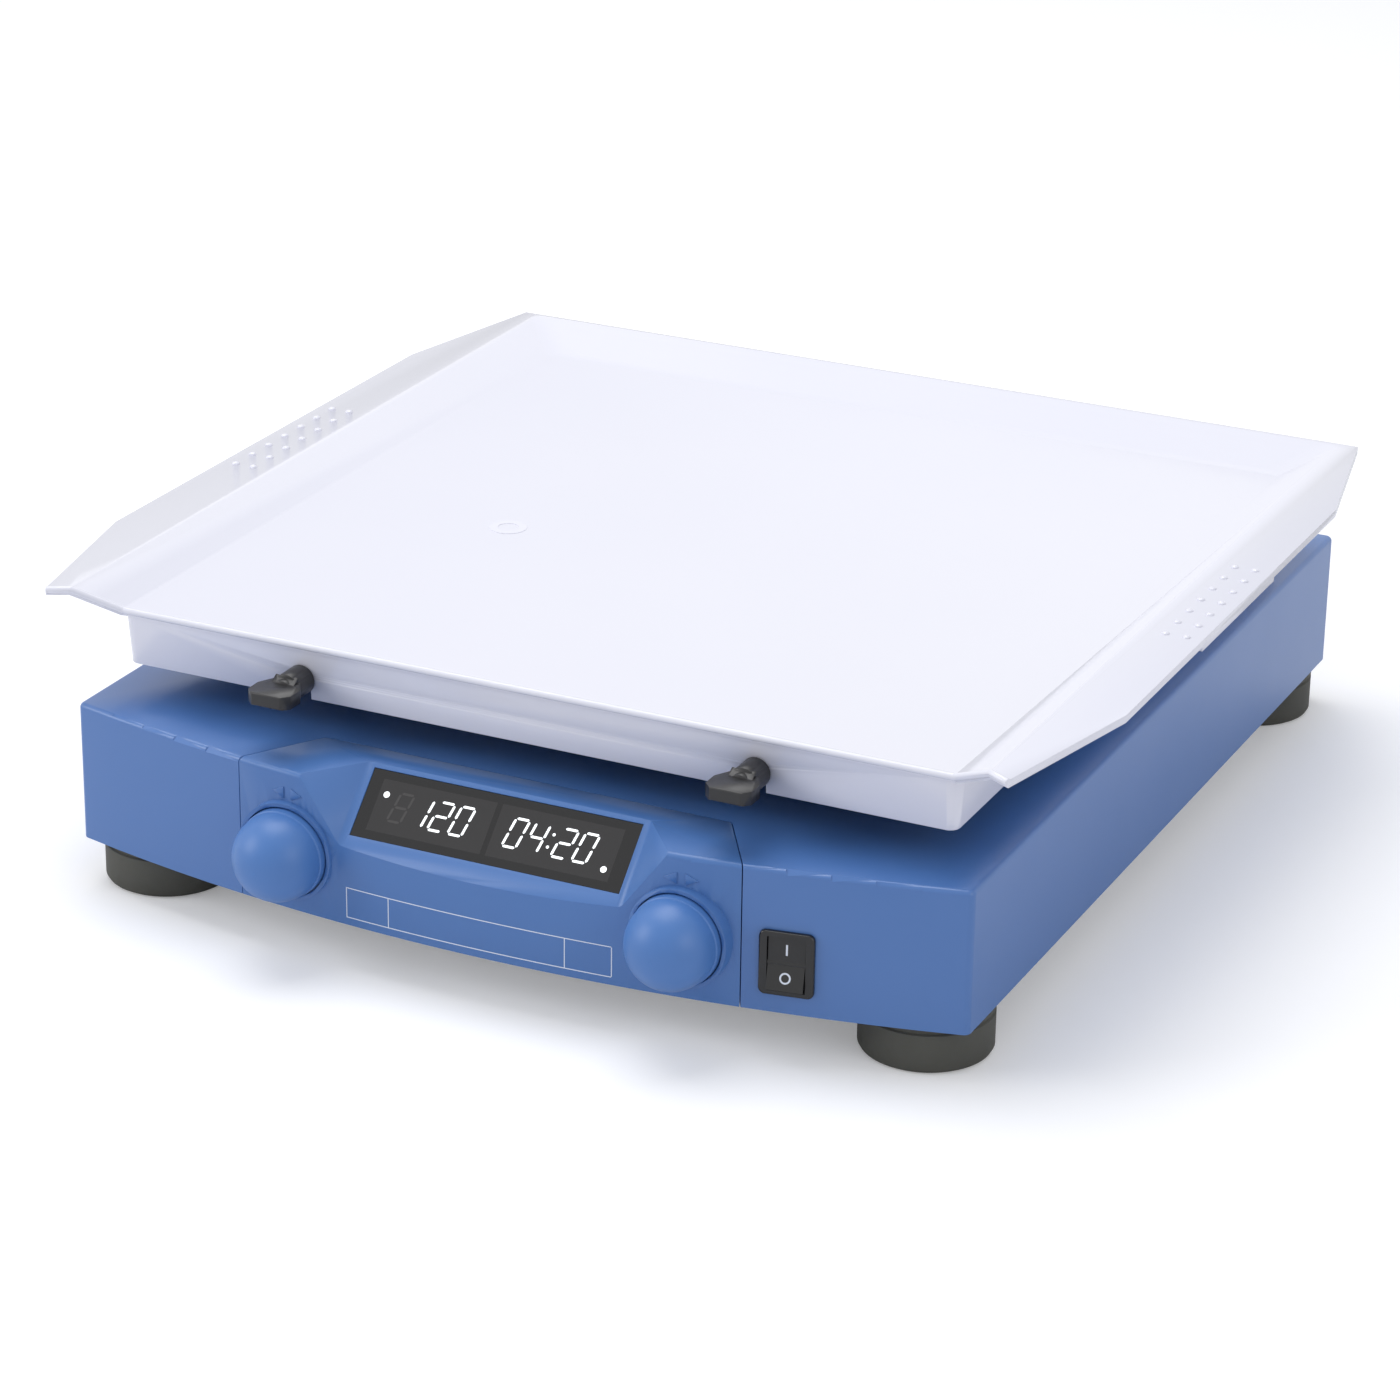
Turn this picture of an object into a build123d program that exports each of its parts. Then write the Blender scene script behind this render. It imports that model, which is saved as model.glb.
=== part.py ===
from build123d import *
import os
from math import asin, cos, degrees, radians, sin, sqrt, tan

# Orbital shaker for dishes and flasks, in millimetres.
# +Z is up, the front with its two dials faces -Y, and the floor is Z = 0.
# The middle of the whole footprint is X = 0, Y = 0.

# Case
case_width = 370.0
case_depth = 425.0
front_bow = 24.0
case_height = 56.0
case_wall = 3.0
case_roof = 4.0
corner_radius = 3.0
edge_radius = 2.0
base_thickness = 3.0
base_clearance = 0.3

# Feet
foot_height = 19.0
foot_diameter = 50.0
foot_side_inset = 25.0
foot_end_inset = 22.0

# Control panel
panel_width = 207.4
panel_taper = 19.2
panel_depth = 39.0
panel_seam = 0.4
panel_lip = 12.0
panel_post_diameter = 9.0
panel_post_inset = 5.7

# Display scoop
scoop_inset = 45.7
scoop_tilt = 45.0
scoop_flare = 48.5
scoop_setback = 15.5
scoop_corner_radius = 4.0
display_drop = 11.2
window_margin = 2.5
window_height = 27.4
window_thickness = 2.0
window_ledge = 3.0

# Dials
dial_inset = 22.7
dial_height = 43.5
dial_reach = 25.0
dial_radius = 17.0
dial_skirt_radius = 17.4
collar_radius = 19.5
collar_proud = 3.5
collar_recess = 2.2
dial_push = 0.7
spindle_diameter = 6.0
encoder_size = 13.0
encoder_depth = 10.0

# Power switch
switch_seam_gap = 16.7
switch_z = 39.0
bezel_width = 20.6
bezel_height = 25.1
bezel_thickness = 1.8
rocker_width = 13.7
rocker_height = 20.4
rocker_throw = 20.0

# Orbital drive
orbit_radius = 5.0
drive_pin_diameter = 15.0
drive_journal_diameter = 17.0
drive_web_diameter = 46.0
guide_pin_diameter = 10.0
guide_journal_diameter = 12.0
guide_web_diameter = 32.0
guide_spacing_x = 256.0
guide_spacing_y = 216.0
web_gap = 2.5
web_thickness = 7.0
pulley_radius = 60.0
motor_pulley_radius = 12.0
pulley_width = 14.0
belt_width = 10.0
belt_thickness = 2.5
motor_distance = 112.0
motor_radius = 34.0
motor_length = 24.0

# Moving table
table_clearance = 1.0
table_plate = 4.0
table_rim_height = 14.0
table_rim_wall = 4.0

# Tray
tray_gap = 14.0
tray_skirt_height = 23.0
tray_skirt_width = 345.6
tray_skirt_depth = 360.0
tray_wall = 3.0
tray_draft = 4.3
floor_side_inset = 1.8
floor_rear_inset = 6.0
tray_slope_run = 17.0
tray_rise = 8.5
wing_reach = 24.0
wing_end_reach = 8.3
wing_overhang = 15.0
wing_front_taper = 73.0
wing_rear_taper = 78.0
tray_rim = 2.5

# Clamp screws
clamp_spacing = 188.0
clamp_hub_diameter = 11.5
clamp_hub_length = 11.0
clamp_blade_width = 18.0
clamp_blade_length = 15.0
clamp_blade_thickness = 5.2
clamp_shank_diameter = 6.0

# Rear sockets
inlet_x = 120.0
inlet_flange_width = 50.0
inlet_flange_height = 31.0
inlet_flange_proud = 2.0
inlet_body_depth = 20.0
socket_width = 24.5
socket_height = 16.9
drawer_width = 21.4
drawer_height = 6.4
serial_x = -50.0
serial_proud = 4.0

# Clearances
running_clearance = 0.03
seat_clearance = 0.05
moving_gap = 0.3
screw_clearance = 0.1

# Places worked out from the sizes above
front_arc_radius = ((case_width / 2) ** 2 + front_bow**2) / (2 * front_bow)
panel_half = panel_width / 2
dial_x = panel_half - dial_inset
switch_x = panel_half + switch_seam_gap
scoop_width = panel_width - 2 * scoop_inset
window_width = scoop_width - 2 * window_margin


def front_sag(x):
    """How far the bowed front has curved back at x."""
    return front_arc_radius - sqrt(front_arc_radius**2 - x**2)


overall_depth = case_depth - front_sag(dial_x) + dial_reach + serial_proud
rear_y = overall_depth / 2 - serial_proud
apex_y = rear_y - case_depth
corner_y = apex_y + front_bow
case_bottom = foot_height
case_top = case_bottom + case_height
roof_under = case_top - case_roof
base_top = case_bottom + base_thickness

tray_bottom = case_top + tray_gap
floor_top = tray_bottom + tray_skirt_height
floor_under = floor_top - tray_wall
rim_top = floor_top + tray_rise
table_top = floor_under
table_under = table_top - table_plate
table_y = (corner_y + rear_y) / 2 - 7.0
crank_y = table_y + orbit_radius
clamp_z = tray_bottom + 8.0


def front_y(x, inset=0.0):
    """Y of the bowed front at x, on a face moved inwards by inset."""
    radius = front_arc_radius - inset
    return apex_y + front_arc_radius - sqrt(radius**2 - x**2)


def case_plan(inset=0.0):
    """Plan of the case, drawn in from its outer faces."""
    half = case_width / 2 - inset
    side_front = front_y(half, inset)
    with BuildSketch() as plan:
        with BuildLine():
            bow = ThreePointArc((-half, side_front), (0, apex_y + inset), (half, side_front))
            Polyline(bow @ 1, (half, rear_y - inset), (-half, rear_y - inset), bow @ 0)
        make_face()
    return plan.sketch


def panel_plan(inset=0.0):
    """Plan of the control panel, whose seams run back from the front to a shorter rear edge."""
    back_half = panel_half - panel_taper
    seam_y = front_y(panel_half)
    back_y = apex_y + panel_depth
    with BuildSketch() as plan:
        Polygon(
            (-panel_half, apex_y - panel_depth),
            (panel_half, apex_y - panel_depth),
            (panel_half, seam_y),
            (back_half, back_y),
            (-back_half, back_y),
            (-panel_half, seam_y),
            align=None,
        )
        rear_corners = plan.vertices().group_by(Axis.Y)[-1]
        fillet(rear_corners, corner_radius)
        if inset:
            offset(amount=-inset, kind=Kind.INTERSECTION, mode=Mode.REPLACE)
    return plan.sketch


def turned(*profile):
    """A piece turned about Z from its half profile of radius and height."""
    with BuildPart() as blank:
        with BuildSketch(Plane.XZ):
            with BuildLine():
                Polyline(*profile, close=True)
            make_face()
        revolve(axis=Axis.Z)
    return blank.part


def ring(inner, outer, bottom, top):
    """A plain turned ring."""
    return turned((inner, bottom), (outer, bottom), (outer, top), (inner, top))


def bearing(bore, outer, width):
    """A shielded ball bearing standing on Z = 0, with its two faces dished between the rings."""
    race = (outer - bore) * 0.22
    dish = width * 0.06
    return turned(
        (bore, 0),
        (bore + race, 0),
        (bore + race, dish),
        (outer - race, dish),
        (outer - race, 0),
        (outer, 0),
        (outer, width),
        (outer - race, width),
        (outer - race, width - dish),
        (bore + race, width - dish),
        (bore + race, width),
        (bore, width),
    )


def screw(shank, length, head, head_height):
    """A screw hanging head down: its head stands below Z = 0 and its shank rises to length."""
    socket = head * 0.5
    return turned(
        (0, length),
        (shank, length),
        (shank, 0),
        (head, 0),
        (head, -head_height),
        (socket, -head_height),
        (socket, -head_height * 0.45),
        (0, -head_height * 0.45),
    )


os.makedirs("parts", exist_ok=True)


def save(piece, label):
    """Name a finished piece and write it."""
    piece.part.label = label
    export_step(piece.part, f"parts/{label}.step")


outer_plan = case_plan()
inner_plan = case_plan(case_wall)
base_plan = case_plan(case_wall + base_clearance)
seam_plan = panel_plan()

# Places of what is fixed to the case
foot_x = case_width / 2 - foot_side_inset
foot_front_y = corner_y + foot_end_inset
foot_rear_y = rear_y - foot_end_inset
foot_places = {
    "front_left_foot": (-foot_x, foot_front_y),
    "front_right_foot": (foot_x, foot_front_y),
    "rear_left_foot": (-foot_x, foot_rear_y),
    "rear_right_foot": (foot_x, foot_rear_y),
}
post_radius = 6.0
post_front_inset = 74.5
post_rear_inset = 50.5
post_x = case_width / 2 - case_wall - post_radius + 0.5
post_rows = (corner_y + post_front_inset, crank_y, rear_y - post_rear_inset)
post_places = [(side * post_x, post_y) for side in (-1, 1) for post_y in post_rows]
guide_places = {
    "front_left": (-guide_spacing_x / 2, -guide_spacing_y / 2),
    "front_right": (guide_spacing_x / 2, -guide_spacing_y / 2),
    "rear_left": (-guide_spacing_x / 2, guide_spacing_y / 2),
    "rear_right": (guide_spacing_x / 2, guide_spacing_y / 2),
}
guide_centres = [(x, crank_y + y) for x, y in guide_places.values()]
drive_centre = (0, crank_y)

# Bearing housings hang from round pads under the roof
pad_height = 4.0
pad_under = roof_under - pad_height
flange_thickness = 4.0
guide_flange_radius = 26.0
drive_flange_radius = 31.0
guide_bearing_radius = 14.0
guide_bearing_width = 8.0
drive_bearing_radius = 17.5
drive_bearing_width = 10.0
housing_wall = 4.5
bearing_spacer = 4.0
guide_seal_radius = 11.0
drive_seal_radius = 14.0
mount_screw_radius = 2.0
mount_screw_depth = 6.0
guide_screw_ring_radius = 22.4
drive_screw_ring_radius = 27.0
guide_screw_count = 3
drive_screw_count = 4

# Motor place and mounting
motor_x = -motor_distance
motor_top = roof_under - base_thickness
motor_bottom = motor_top - motor_length
bracket_width = 84.0
motor_screw_offset = 36.0
belt_middle = base_top + 13.0
pulley_bottom = belt_middle - pulley_width / 2
pulley_top = belt_middle + pulley_width / 2

# Switch plane, tangent to the bowed front
switch_turn = degrees(asin(switch_x / front_arc_radius))
switch_along = (cos(radians(switch_turn)), sin(radians(switch_turn)), 0)
switch_out = (sin(radians(switch_turn)), -cos(radians(switch_turn)), 0)
switch_plane = Plane(
    origin=(switch_x, front_y(switch_x), switch_z), x_dir=switch_along, z_dir=switch_out
)
switch_body_width = bezel_width - 2.6
switch_body_height = bezel_height - 1.6
switch_body_depth = 22.0

# Rear socket places
inlet_z = case_bottom + case_height / 2
inlet_plane = Plane(origin=(inlet_x, rear_y, inlet_z), x_dir=(-1, 0, 0), z_dir=(0, 1, 0))
inlet_body_width = 28.0
inlet_body_height = 28.0
inlet_screw_spacing = 40.0
board_thickness = 1.6
board_bottom = base_top + 8.0
board_top = board_bottom + board_thickness
serial_z = board_top + 6.5
serial_plane = Plane(origin=(serial_x, rear_y, serial_z), x_dir=(-1, 0, 0), z_dir=(0, 1, 0))
serial_shell_width = 17.0
serial_shell_height = 8.4

# Case cover: a bowed shell, open below, with a slot for the control panel
with BuildPart() as case_cover:
    with BuildSketch(Plane.XY.offset(case_bottom)):
        add(outer_plan)
    extrude(amount=case_height)
    fillet(case_cover.edges().filter_by(Axis.Z), corner_radius)
    fillet(case_cover.faces().sort_by(Axis.Z)[-1].edges(), edge_radius)
    with BuildSketch(Plane.XY.offset(case_bottom)):
        add(inner_plan)
    extrude(amount=case_height - case_roof, mode=Mode.SUBTRACT)
    # Pads and screw posts cast on the inside
    with BuildSketch(Plane.XY.offset(pad_under)):
        with Locations(*guide_centres):
            Circle(guide_flange_radius)
        with Locations(drive_centre):
            Circle(drive_flange_radius)
    extrude(amount=pad_height + 0.5)
    with BuildSketch(Plane.XY.offset(base_top)):
        with Locations(*post_places):
            Circle(post_radius)
    extrude(amount=roof_under - base_top + 0.5)
    # Seats for the shaft seals, and raised rims round them
    with BuildSketch(Plane.XY.offset(case_top - 0.5)):
        with Locations(*guide_centres):
            Circle(guide_seal_radius + 3)
        with Locations(drive_centre):
            Circle(drive_seal_radius + 3)
    extrude(amount=1.5)
    with BuildSketch(Plane.XY.offset(pad_under)):
        with Locations(*guide_centres):
            Circle(guide_seal_radius + seat_clearance)
        with Locations(drive_centre):
            Circle(drive_seal_radius + seat_clearance)
    extrude(amount=pad_height + case_roof + 2, mode=Mode.SUBTRACT)
    # Blind tapped holes for the housing and motor screws
    with BuildSketch(Plane.XY.offset(pad_under)):
        for centre in guide_centres:
            with Locations(centre):
                with PolarLocations(guide_screw_ring_radius, guide_screw_count, start_angle=90):
                    Circle(mount_screw_radius + screw_clearance)
        with Locations(drive_centre):
            with PolarLocations(drive_screw_ring_radius, drive_screw_count, start_angle=45):
                Circle(mount_screw_radius + screw_clearance)
        with Locations((motor_x, crank_y)):
            with GridLocations(2 * motor_screw_offset, 2 * motor_screw_offset, 2, 2):
                Circle(mount_screw_radius + screw_clearance)
    extrude(amount=mount_screw_depth + 0.5, mode=Mode.SUBTRACT)
    with BuildSketch(Plane.XY.offset(base_top)):
        with Locations(*post_places):
            Circle(mount_screw_radius + screw_clearance)
    extrude(amount=16, mode=Mode.SUBTRACT)
    # Slot for the panel, through roof and front wall
    with BuildSketch(Plane.XY.offset(case_bottom)):
        add(seam_plan)
    extrude(amount=case_height, mode=Mode.SUBTRACT)
    # Cut-outs for the switch, the mains inlet and the serial socket
    with BuildSketch(switch_plane):
        Rectangle(switch_body_width + 0.6, switch_body_height + 0.6)
    extrude(amount=-2 * case_wall, both=True, mode=Mode.SUBTRACT)
    with BuildSketch(inlet_plane):
        Rectangle(inlet_body_width + 0.6, inlet_body_height + 0.6)
    extrude(amount=2 * case_wall, both=True, mode=Mode.SUBTRACT)
    with BuildSketch(inlet_plane):
        with GridLocations(inlet_screw_spacing, 1, 2, 1):
            Circle(1.6)
    extrude(amount=2 * case_wall, both=True, mode=Mode.SUBTRACT)
    with BuildSketch(serial_plane):
        Rectangle(serial_shell_width + 1, serial_shell_height + 1)
        with GridLocations(25, 1, 2, 1):
            Circle(2.9)
    extrude(amount=2 * case_wall, both=True, mode=Mode.SUBTRACT)
save(case_cover, "case_cover")

# Base plate: closes the case from below, with posts for the boards and bosses for the feet
foot_boss_radius = 8.0
foot_screw_radius = 2.5
board_post_radius = 3.5
power_board_width = 100.0
power_board_depth = 130.0
power_board_x = 118.0
power_board_y = crank_y
control_board_width = 100.0
control_board_depth = 70.0
control_board_x = serial_x
control_board_y = rear_y - case_wall - 6.0 - control_board_depth / 2
board_inset = 6.0
cooling_slot_length = 60.0
cooling_slot_width = 4.0
cooling_slot_pitch = 10.0
panel_post_x = panel_half - panel_post_inset
panel_post_y = front_y(panel_post_x) + case_wall + panel_post_diameter / 2
power_board_posts = [
    (power_board_x + sx * (power_board_width / 2 - board_inset),
     power_board_y + sy * (power_board_depth / 2 - board_inset))
    for sx in (-1, 1) for sy in (-1, 1)
]
control_board_posts = [
    (control_board_x + sx * (control_board_width / 2 - board_inset),
     control_board_y + sy * (control_board_depth / 2 - board_inset))
    for sx in (-1, 1) for sy in (-1, 1)
]
board_posts = power_board_posts + control_board_posts
panel_post_places = [(side * panel_post_x, panel_post_y) for side in (-1, 1)]
base_screw_places = post_places + panel_post_places
base_screw_length = 14.0
base_screw_head = 4.0
base_screw_recess = 1.7

with BuildPart() as base_plate:
    with BuildSketch(Plane.XY.offset(case_bottom)):
        add(base_plan)
        # Cooling slots under the power board and the motor
        with Locations((power_board_x, crank_y), (motor_x, crank_y)):
            with GridLocations(1, cooling_slot_pitch, 1, 6):
                SlotOverall(cooling_slot_length, cooling_slot_width, mode=Mode.SUBTRACT)
    extrude(amount=base_thickness)
    with BuildSketch(Plane.XY.offset(base_top)):
        with Locations(*foot_places.values()):
            Circle(foot_boss_radius)
        with Locations(*board_posts):
            Circle(board_post_radius)
    extrude(amount=board_bottom - base_top)
    with BuildSketch(Plane.XY.offset(case_bottom)):
        with Locations(*foot_places.values()):
            Circle(foot_screw_radius + screw_clearance)
        with Locations(*base_screw_places):
            Circle(mount_screw_radius + screw_clearance)
        with Locations(*board_posts):
            Circle(1.0)
    extrude(amount=board_bottom - case_bottom, mode=Mode.SUBTRACT)
    with BuildSketch(Plane.XY.offset(case_bottom)):
        with Locations(*base_screw_places):
            Circle(base_screw_head + 0.2)
    extrude(amount=base_screw_recess, mode=Mode.SUBTRACT)
save(base_plate, "base_plate")

# Feet: rubber pucks with a thin sole, a groove under the case and a deep screw well
foot_radius = foot_diameter / 2
foot_well_depth = 8.0
foot_well_radius = 7.0
foot_profile = (
    (foot_screw_radius + screw_clearance, foot_well_depth),
    (foot_well_radius, foot_well_depth),
    (foot_well_radius, 0),
    (foot_radius - 2.2, 0),
    (foot_radius - 0.8, 0.8),
    (foot_radius, 2.2),
    (foot_radius, foot_height - 3.5),
    (foot_radius - 0.8, foot_height - 3.0),
    (foot_radius - 0.8, foot_height - 2.2),
    (foot_radius, foot_height - 1.7),
    (foot_radius, foot_height),
    (foot_screw_radius + screw_clearance, foot_height),
)
rubber_foot = turned(*foot_profile)
for foot_name, foot_place in foot_places.items():
    with BuildPart() as foot:
        with Locations(foot_place):
            add(rubber_foot)
    save(foot, foot_name)

foot_screw = screw(foot_screw_radius, board_bottom - foot_well_depth - 1, 4.8, 3.5)
with BuildPart() as foot_screws:
    with Locations(*[(x, y, foot_well_depth) for x, y in foot_places.values()]):
        add(foot_screw)
save(foot_screws, "foot_screws")

base_screw = screw(mount_screw_radius, base_screw_length, base_screw_head, base_screw_recess - 0.2)
with BuildPart() as base_screws:
    with Locations(*[(x, y, case_bottom + base_screw_recess) for x, y in base_screw_places]):
        add(base_screw)
save(base_screws, "base_screws")

# Control panel: a bowed insert with a sloping scoop for the display and a collar for each dial
display_z = case_top - display_drop
display_y = apex_y + scoop_setback
scoop_plane = Plane(
    origin=(0, display_y, display_z),
    x_dir=(1, 0, 0),
    z_dir=(0, -sin(radians(scoop_tilt)), cos(radians(scoop_tilt))),
)
scoop_section = Plane(
    origin=scoop_plane.origin, x_dir=(1, 0, 0), z_dir=-scoop_plane.y_dir
)
scoop_height = 40.0


def scoop_prism(thickness):
    """The scooped-out space, grown outwards all round by a wall thickness."""
    half = scoop_width / 2
    spread = scoop_height * tan(radians(scoop_flare))
    with BuildPart() as prism:
        with BuildSketch(scoop_section) as section:
            Polygon(
                (-half, 0), (half, 0), (half + spread, scoop_height),
                (-half - spread, scoop_height), align=None,
            )
            fillet(section.vertices().sort_by(Axis.Y)[:2], scoop_corner_radius)
            if thickness:
                offset(amount=thickness, kind=Kind.INTERSECTION, mode=Mode.REPLACE)
        extrude(amount=scoop_height, both=True)
    return prism.part


dial_planes = {
    "left": Plane(origin=(-dial_x, front_y(dial_x), dial_height), z_dir=(0, -1, 0)),
    "right": Plane(origin=(dial_x, front_y(dial_x), dial_height), z_dir=(0, -1, 0)),
}
recess_radius = dial_skirt_radius + 0.6
recess_floor = collar_proud - collar_recess
bushing_radius = 4.0
inner_pad = case_wall + 2.0
panel_screw_depth = 14.0
scoop_cut = scoop_prism(0)
scoop_wall = scoop_prism(case_wall)
panel_outline = panel_plan(panel_seam)
lip_outline = panel_plan(panel_seam + case_wall)
window_pad_width = window_width + 4 * window_ledge
board_screw_x = window_width / 2 + window_ledge

with BuildPart() as panel_hollow:
    with BuildSketch(Plane.XY.offset(case_bottom)):
        add(inner_plan)
        add(lip_outline, mode=Mode.INTERSECT)
    extrude(amount=case_height - case_wall)
    # Below the lip the panel is open at the sides and back
    with BuildSketch(Plane.XY.offset(case_bottom)):
        add(inner_plan)
    extrude(amount=case_height - panel_lip)
    add(scoop_wall, mode=Mode.SUBTRACT)

with BuildPart() as control_panel:
    with BuildSketch(Plane.XY.offset(case_bottom)):
        add(outer_plan)
        add(panel_outline, mode=Mode.INTERSECT)
    extrude(amount=case_height)
    top_arcs = control_panel.faces().sort_by(Axis.Z)[-1].edges().filter_by(GeomType.CIRCLE)
    fillet(top_arcs.sort_by(SortBy.LENGTH)[-1], edge_radius)
    add(panel_hollow.part, mode=Mode.SUBTRACT)
    # A collar round each dial, with a flat pad behind it
    for dial_plane in dial_planes.values():
        with BuildSketch(dial_plane.offset(collar_proud)):
            Circle(collar_radius)
        extrude(amount=-(collar_proud + inner_pad))
    add(scoop_cut, mode=Mode.SUBTRACT)
    for dial_plane in dial_planes.values():
        with BuildSketch(dial_plane.offset(collar_proud)):
            Circle(recess_radius)
        extrude(amount=-collar_recess, mode=Mode.SUBTRACT)
        with BuildSketch(dial_plane.offset(collar_proud)):
            Circle(bushing_radius + screw_clearance)
        extrude(amount=-(collar_proud + inner_pad), mode=Mode.SUBTRACT)
    # Window seat: a thickened floor with a pocket, a ledge and tapped holes for the board
    with BuildSketch(scoop_plane.offset(-0.5)):
        Rectangle(window_pad_width, window_height)
    extrude(amount=0.5 - inner_pad)
    with BuildSketch(scoop_plane):
        Rectangle(window_width + 0.4, window_height + 0.4)
    extrude(amount=-(window_thickness + 0.3), mode=Mode.SUBTRACT)
    with BuildSketch(scoop_plane):
        Rectangle(window_width - 2 * window_ledge, window_height - 2 * window_ledge)
    extrude(amount=-2 * inner_pad, mode=Mode.SUBTRACT)
    with BuildSketch(scoop_plane.offset(-inner_pad)):
        with GridLocations(2 * board_screw_x, 16, 2, 2):
            Circle(1.1)
    extrude(amount=3.5, mode=Mode.SUBTRACT)
    # Screw posts inside the front
    with BuildSketch(Plane.XY.offset(base_top)):
        with Locations(*panel_post_places):
            Circle(panel_post_diameter / 2)
            with Locations((0, -panel_post_diameter / 2)):
                Rectangle(panel_post_diameter, panel_post_diameter)
        add(inner_plan, mode=Mode.INTERSECT)
    extrude(amount=30)
    with BuildSketch(Plane.XY.offset(base_top)):
        with Locations(*panel_post_places):
            Circle(mount_screw_radius + screw_clearance)
    extrude(amount=panel_screw_depth + 2, mode=Mode.SUBTRACT)
save(control_panel, "control_panel")

# Display: a dark window, and behind it a board with the digit module
with BuildPart() as display_window:
    with BuildSketch(scoop_plane.offset(-0.3)):
        Rectangle(window_width, window_height)
    extrude(amount=-window_thickness)
save(display_window, "display_window")

digit_module_width = window_width - 2 * window_ledge - 0.6
digit_module_height = window_height - 2 * window_ledge - 0.6
with BuildPart() as display_board:
    with BuildSketch(scoop_plane.offset(-inner_pad)):
        Rectangle(window_pad_width - 1, window_height)
        with GridLocations(2 * board_screw_x, 16, 2, 2):
            Circle(1.1, mode=Mode.SUBTRACT)
    extrude(amount=-board_thickness)
    # Digit module in front, chips and a ribbon socket behind
    with BuildSketch(scoop_plane.offset(-inner_pad)):
        Rectangle(digit_module_width, digit_module_height)
    extrude(amount=inner_pad - window_thickness - 0.6)
    with BuildSketch(scoop_plane.offset(-inner_pad - board_thickness)):
        with GridLocations(34, 1, 3, 1):
            Rectangle(16, 8)
        with Locations((0, 9)):
            Rectangle(22, 5)
    extrude(amount=-2)
save(display_board, "display_board")

display_screw = screw(1.0, board_thickness + 2.5, 2.0, 1.4)
display_screw_plane = Plane(
    origin=scoop_plane.origin - scoop_plane.z_dir * (inner_pad + board_thickness),
    x_dir=(1, 0, 0),
    z_dir=scoop_plane.z_dir,
)
with BuildPart() as display_screws:
    with Locations(display_screw_plane):
        with GridLocations(2 * board_screw_x, 16, 2, 2):
            add(display_screw)
save(display_screws, "display_screws")

# Dials: an encoder behind the panel, a detent wheel inside it, and a push-and-turn knob
spindle_radius = spindle_diameter / 2
bushing_top = recess_floor + 3.0
encoder_skin = 1.5
wheel_radius = 4.7
spindle_square = 4.0
cavity_front = -inner_pad - encoder_skin
cavity_back = -inner_pad - encoder_depth + 1.0
wheel_front = cavity_front - moving_gap
wheel_back = cavity_back + moving_gap
spindle_shoulder = wheel_front + dial_push + moving_gap
with BuildPart() as encoder:
    with BuildSketch(Plane.XY.offset(-inner_pad)):
        Rectangle(encoder_size, encoder_size)
    extrude(amount=-encoder_depth)
    with BuildSketch(Plane.XY.offset(-inner_pad)):
        Circle(bushing_radius)
    extrude(amount=inner_pad + bushing_top)
    # Terminals
    with BuildSketch(Plane.XY.offset(-inner_pad - encoder_depth)):
        with GridLocations(2.5, 10, 5, 2):
            Rectangle(0.8, 0.6)
    extrude(amount=-3)
    with BuildSketch(Plane.XY.offset(cavity_front)):
        Circle(wheel_radius + moving_gap)
    extrude(amount=cavity_back - cavity_front, mode=Mode.SUBTRACT)
    with BuildSketch(Plane.XY.offset(bushing_top)):
        Circle(spindle_radius + running_clearance)
    extrude(amount=cavity_front - bushing_top, mode=Mode.SUBTRACT)

with BuildPart() as detent_wheel:
    with BuildSketch(Plane.XY.offset(wheel_front)):
        Circle(wheel_radius)
        with PolarLocations(wheel_radius, 12):
            Rectangle(1.0, 0.9, mode=Mode.SUBTRACT)
        Rectangle(spindle_square + 0.6, spindle_square + 0.6, mode=Mode.SUBTRACT)
    extrude(amount=wheel_back - wheel_front)

with BuildPart() as spindle:
    with BuildSketch(Plane.XY.offset(spindle_shoulder)):
        Circle(spindle_radius)
    extrude(amount=dial_reach - 9 - spindle_shoulder)
    with BuildSketch(Plane.XY.offset(spindle_shoulder)):
        Rectangle(spindle_square, spindle_square)
    extrude(amount=cavity_back + dial_push + 0.5 - spindle_shoulder)

dome_centre = dial_reach - dial_radius
knob_foot = recess_floor + dial_push + moving_gap
knob_inside = dial_skirt_radius - 2.2
with BuildPart() as knob:
    with BuildSketch(Plane.XZ):
        with BuildLine():
            dome = CenterArc((0, dome_centre), dial_radius, 0, 90)
            Polyline(
                dome @ 1,
                (0, dial_reach - 8.7),
                (spindle_radius + seat_clearance, dial_reach - 8.7),
                (spindle_radius + seat_clearance, bushing_top + 1.2),
                (6, bushing_top + 1.2),
                (6, dome_centre + 2.5),
                (knob_inside, dome_centre + 2.5),
                (knob_inside, knob_foot),
                (dial_skirt_radius, knob_foot),
                (dial_skirt_radius, dome_centre - 2.0),
                (dial_radius, dome_centre - 1.6),
                dome @ 0,
            )
        make_face()
    revolve(axis=Axis.Z)

for side_name, dial_plane in dial_planes.items():
    for label, blank in (
        ("encoder", encoder), ("detent_wheel", detent_wheel), ("spindle", spindle), ("knob", knob)
    ):
        with BuildPart() as placed:
            with Locations(dial_plane):
                add(blank.part)
        save(placed, f"{side_name}_{label}")

with BuildPart() as dial_nut:
    with BuildSketch(Plane.XY.offset(recess_floor)):
        RegularPolygon(6.5, 6)
        Circle(bushing_radius + seat_clearance, mode=Mode.SUBTRACT)
    extrude(amount=2)
with BuildPart() as dial_nuts:
    with Locations(*dial_planes.values()):
        add(dial_nut.part)
save(dial_nuts, "dial_nuts")

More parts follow.
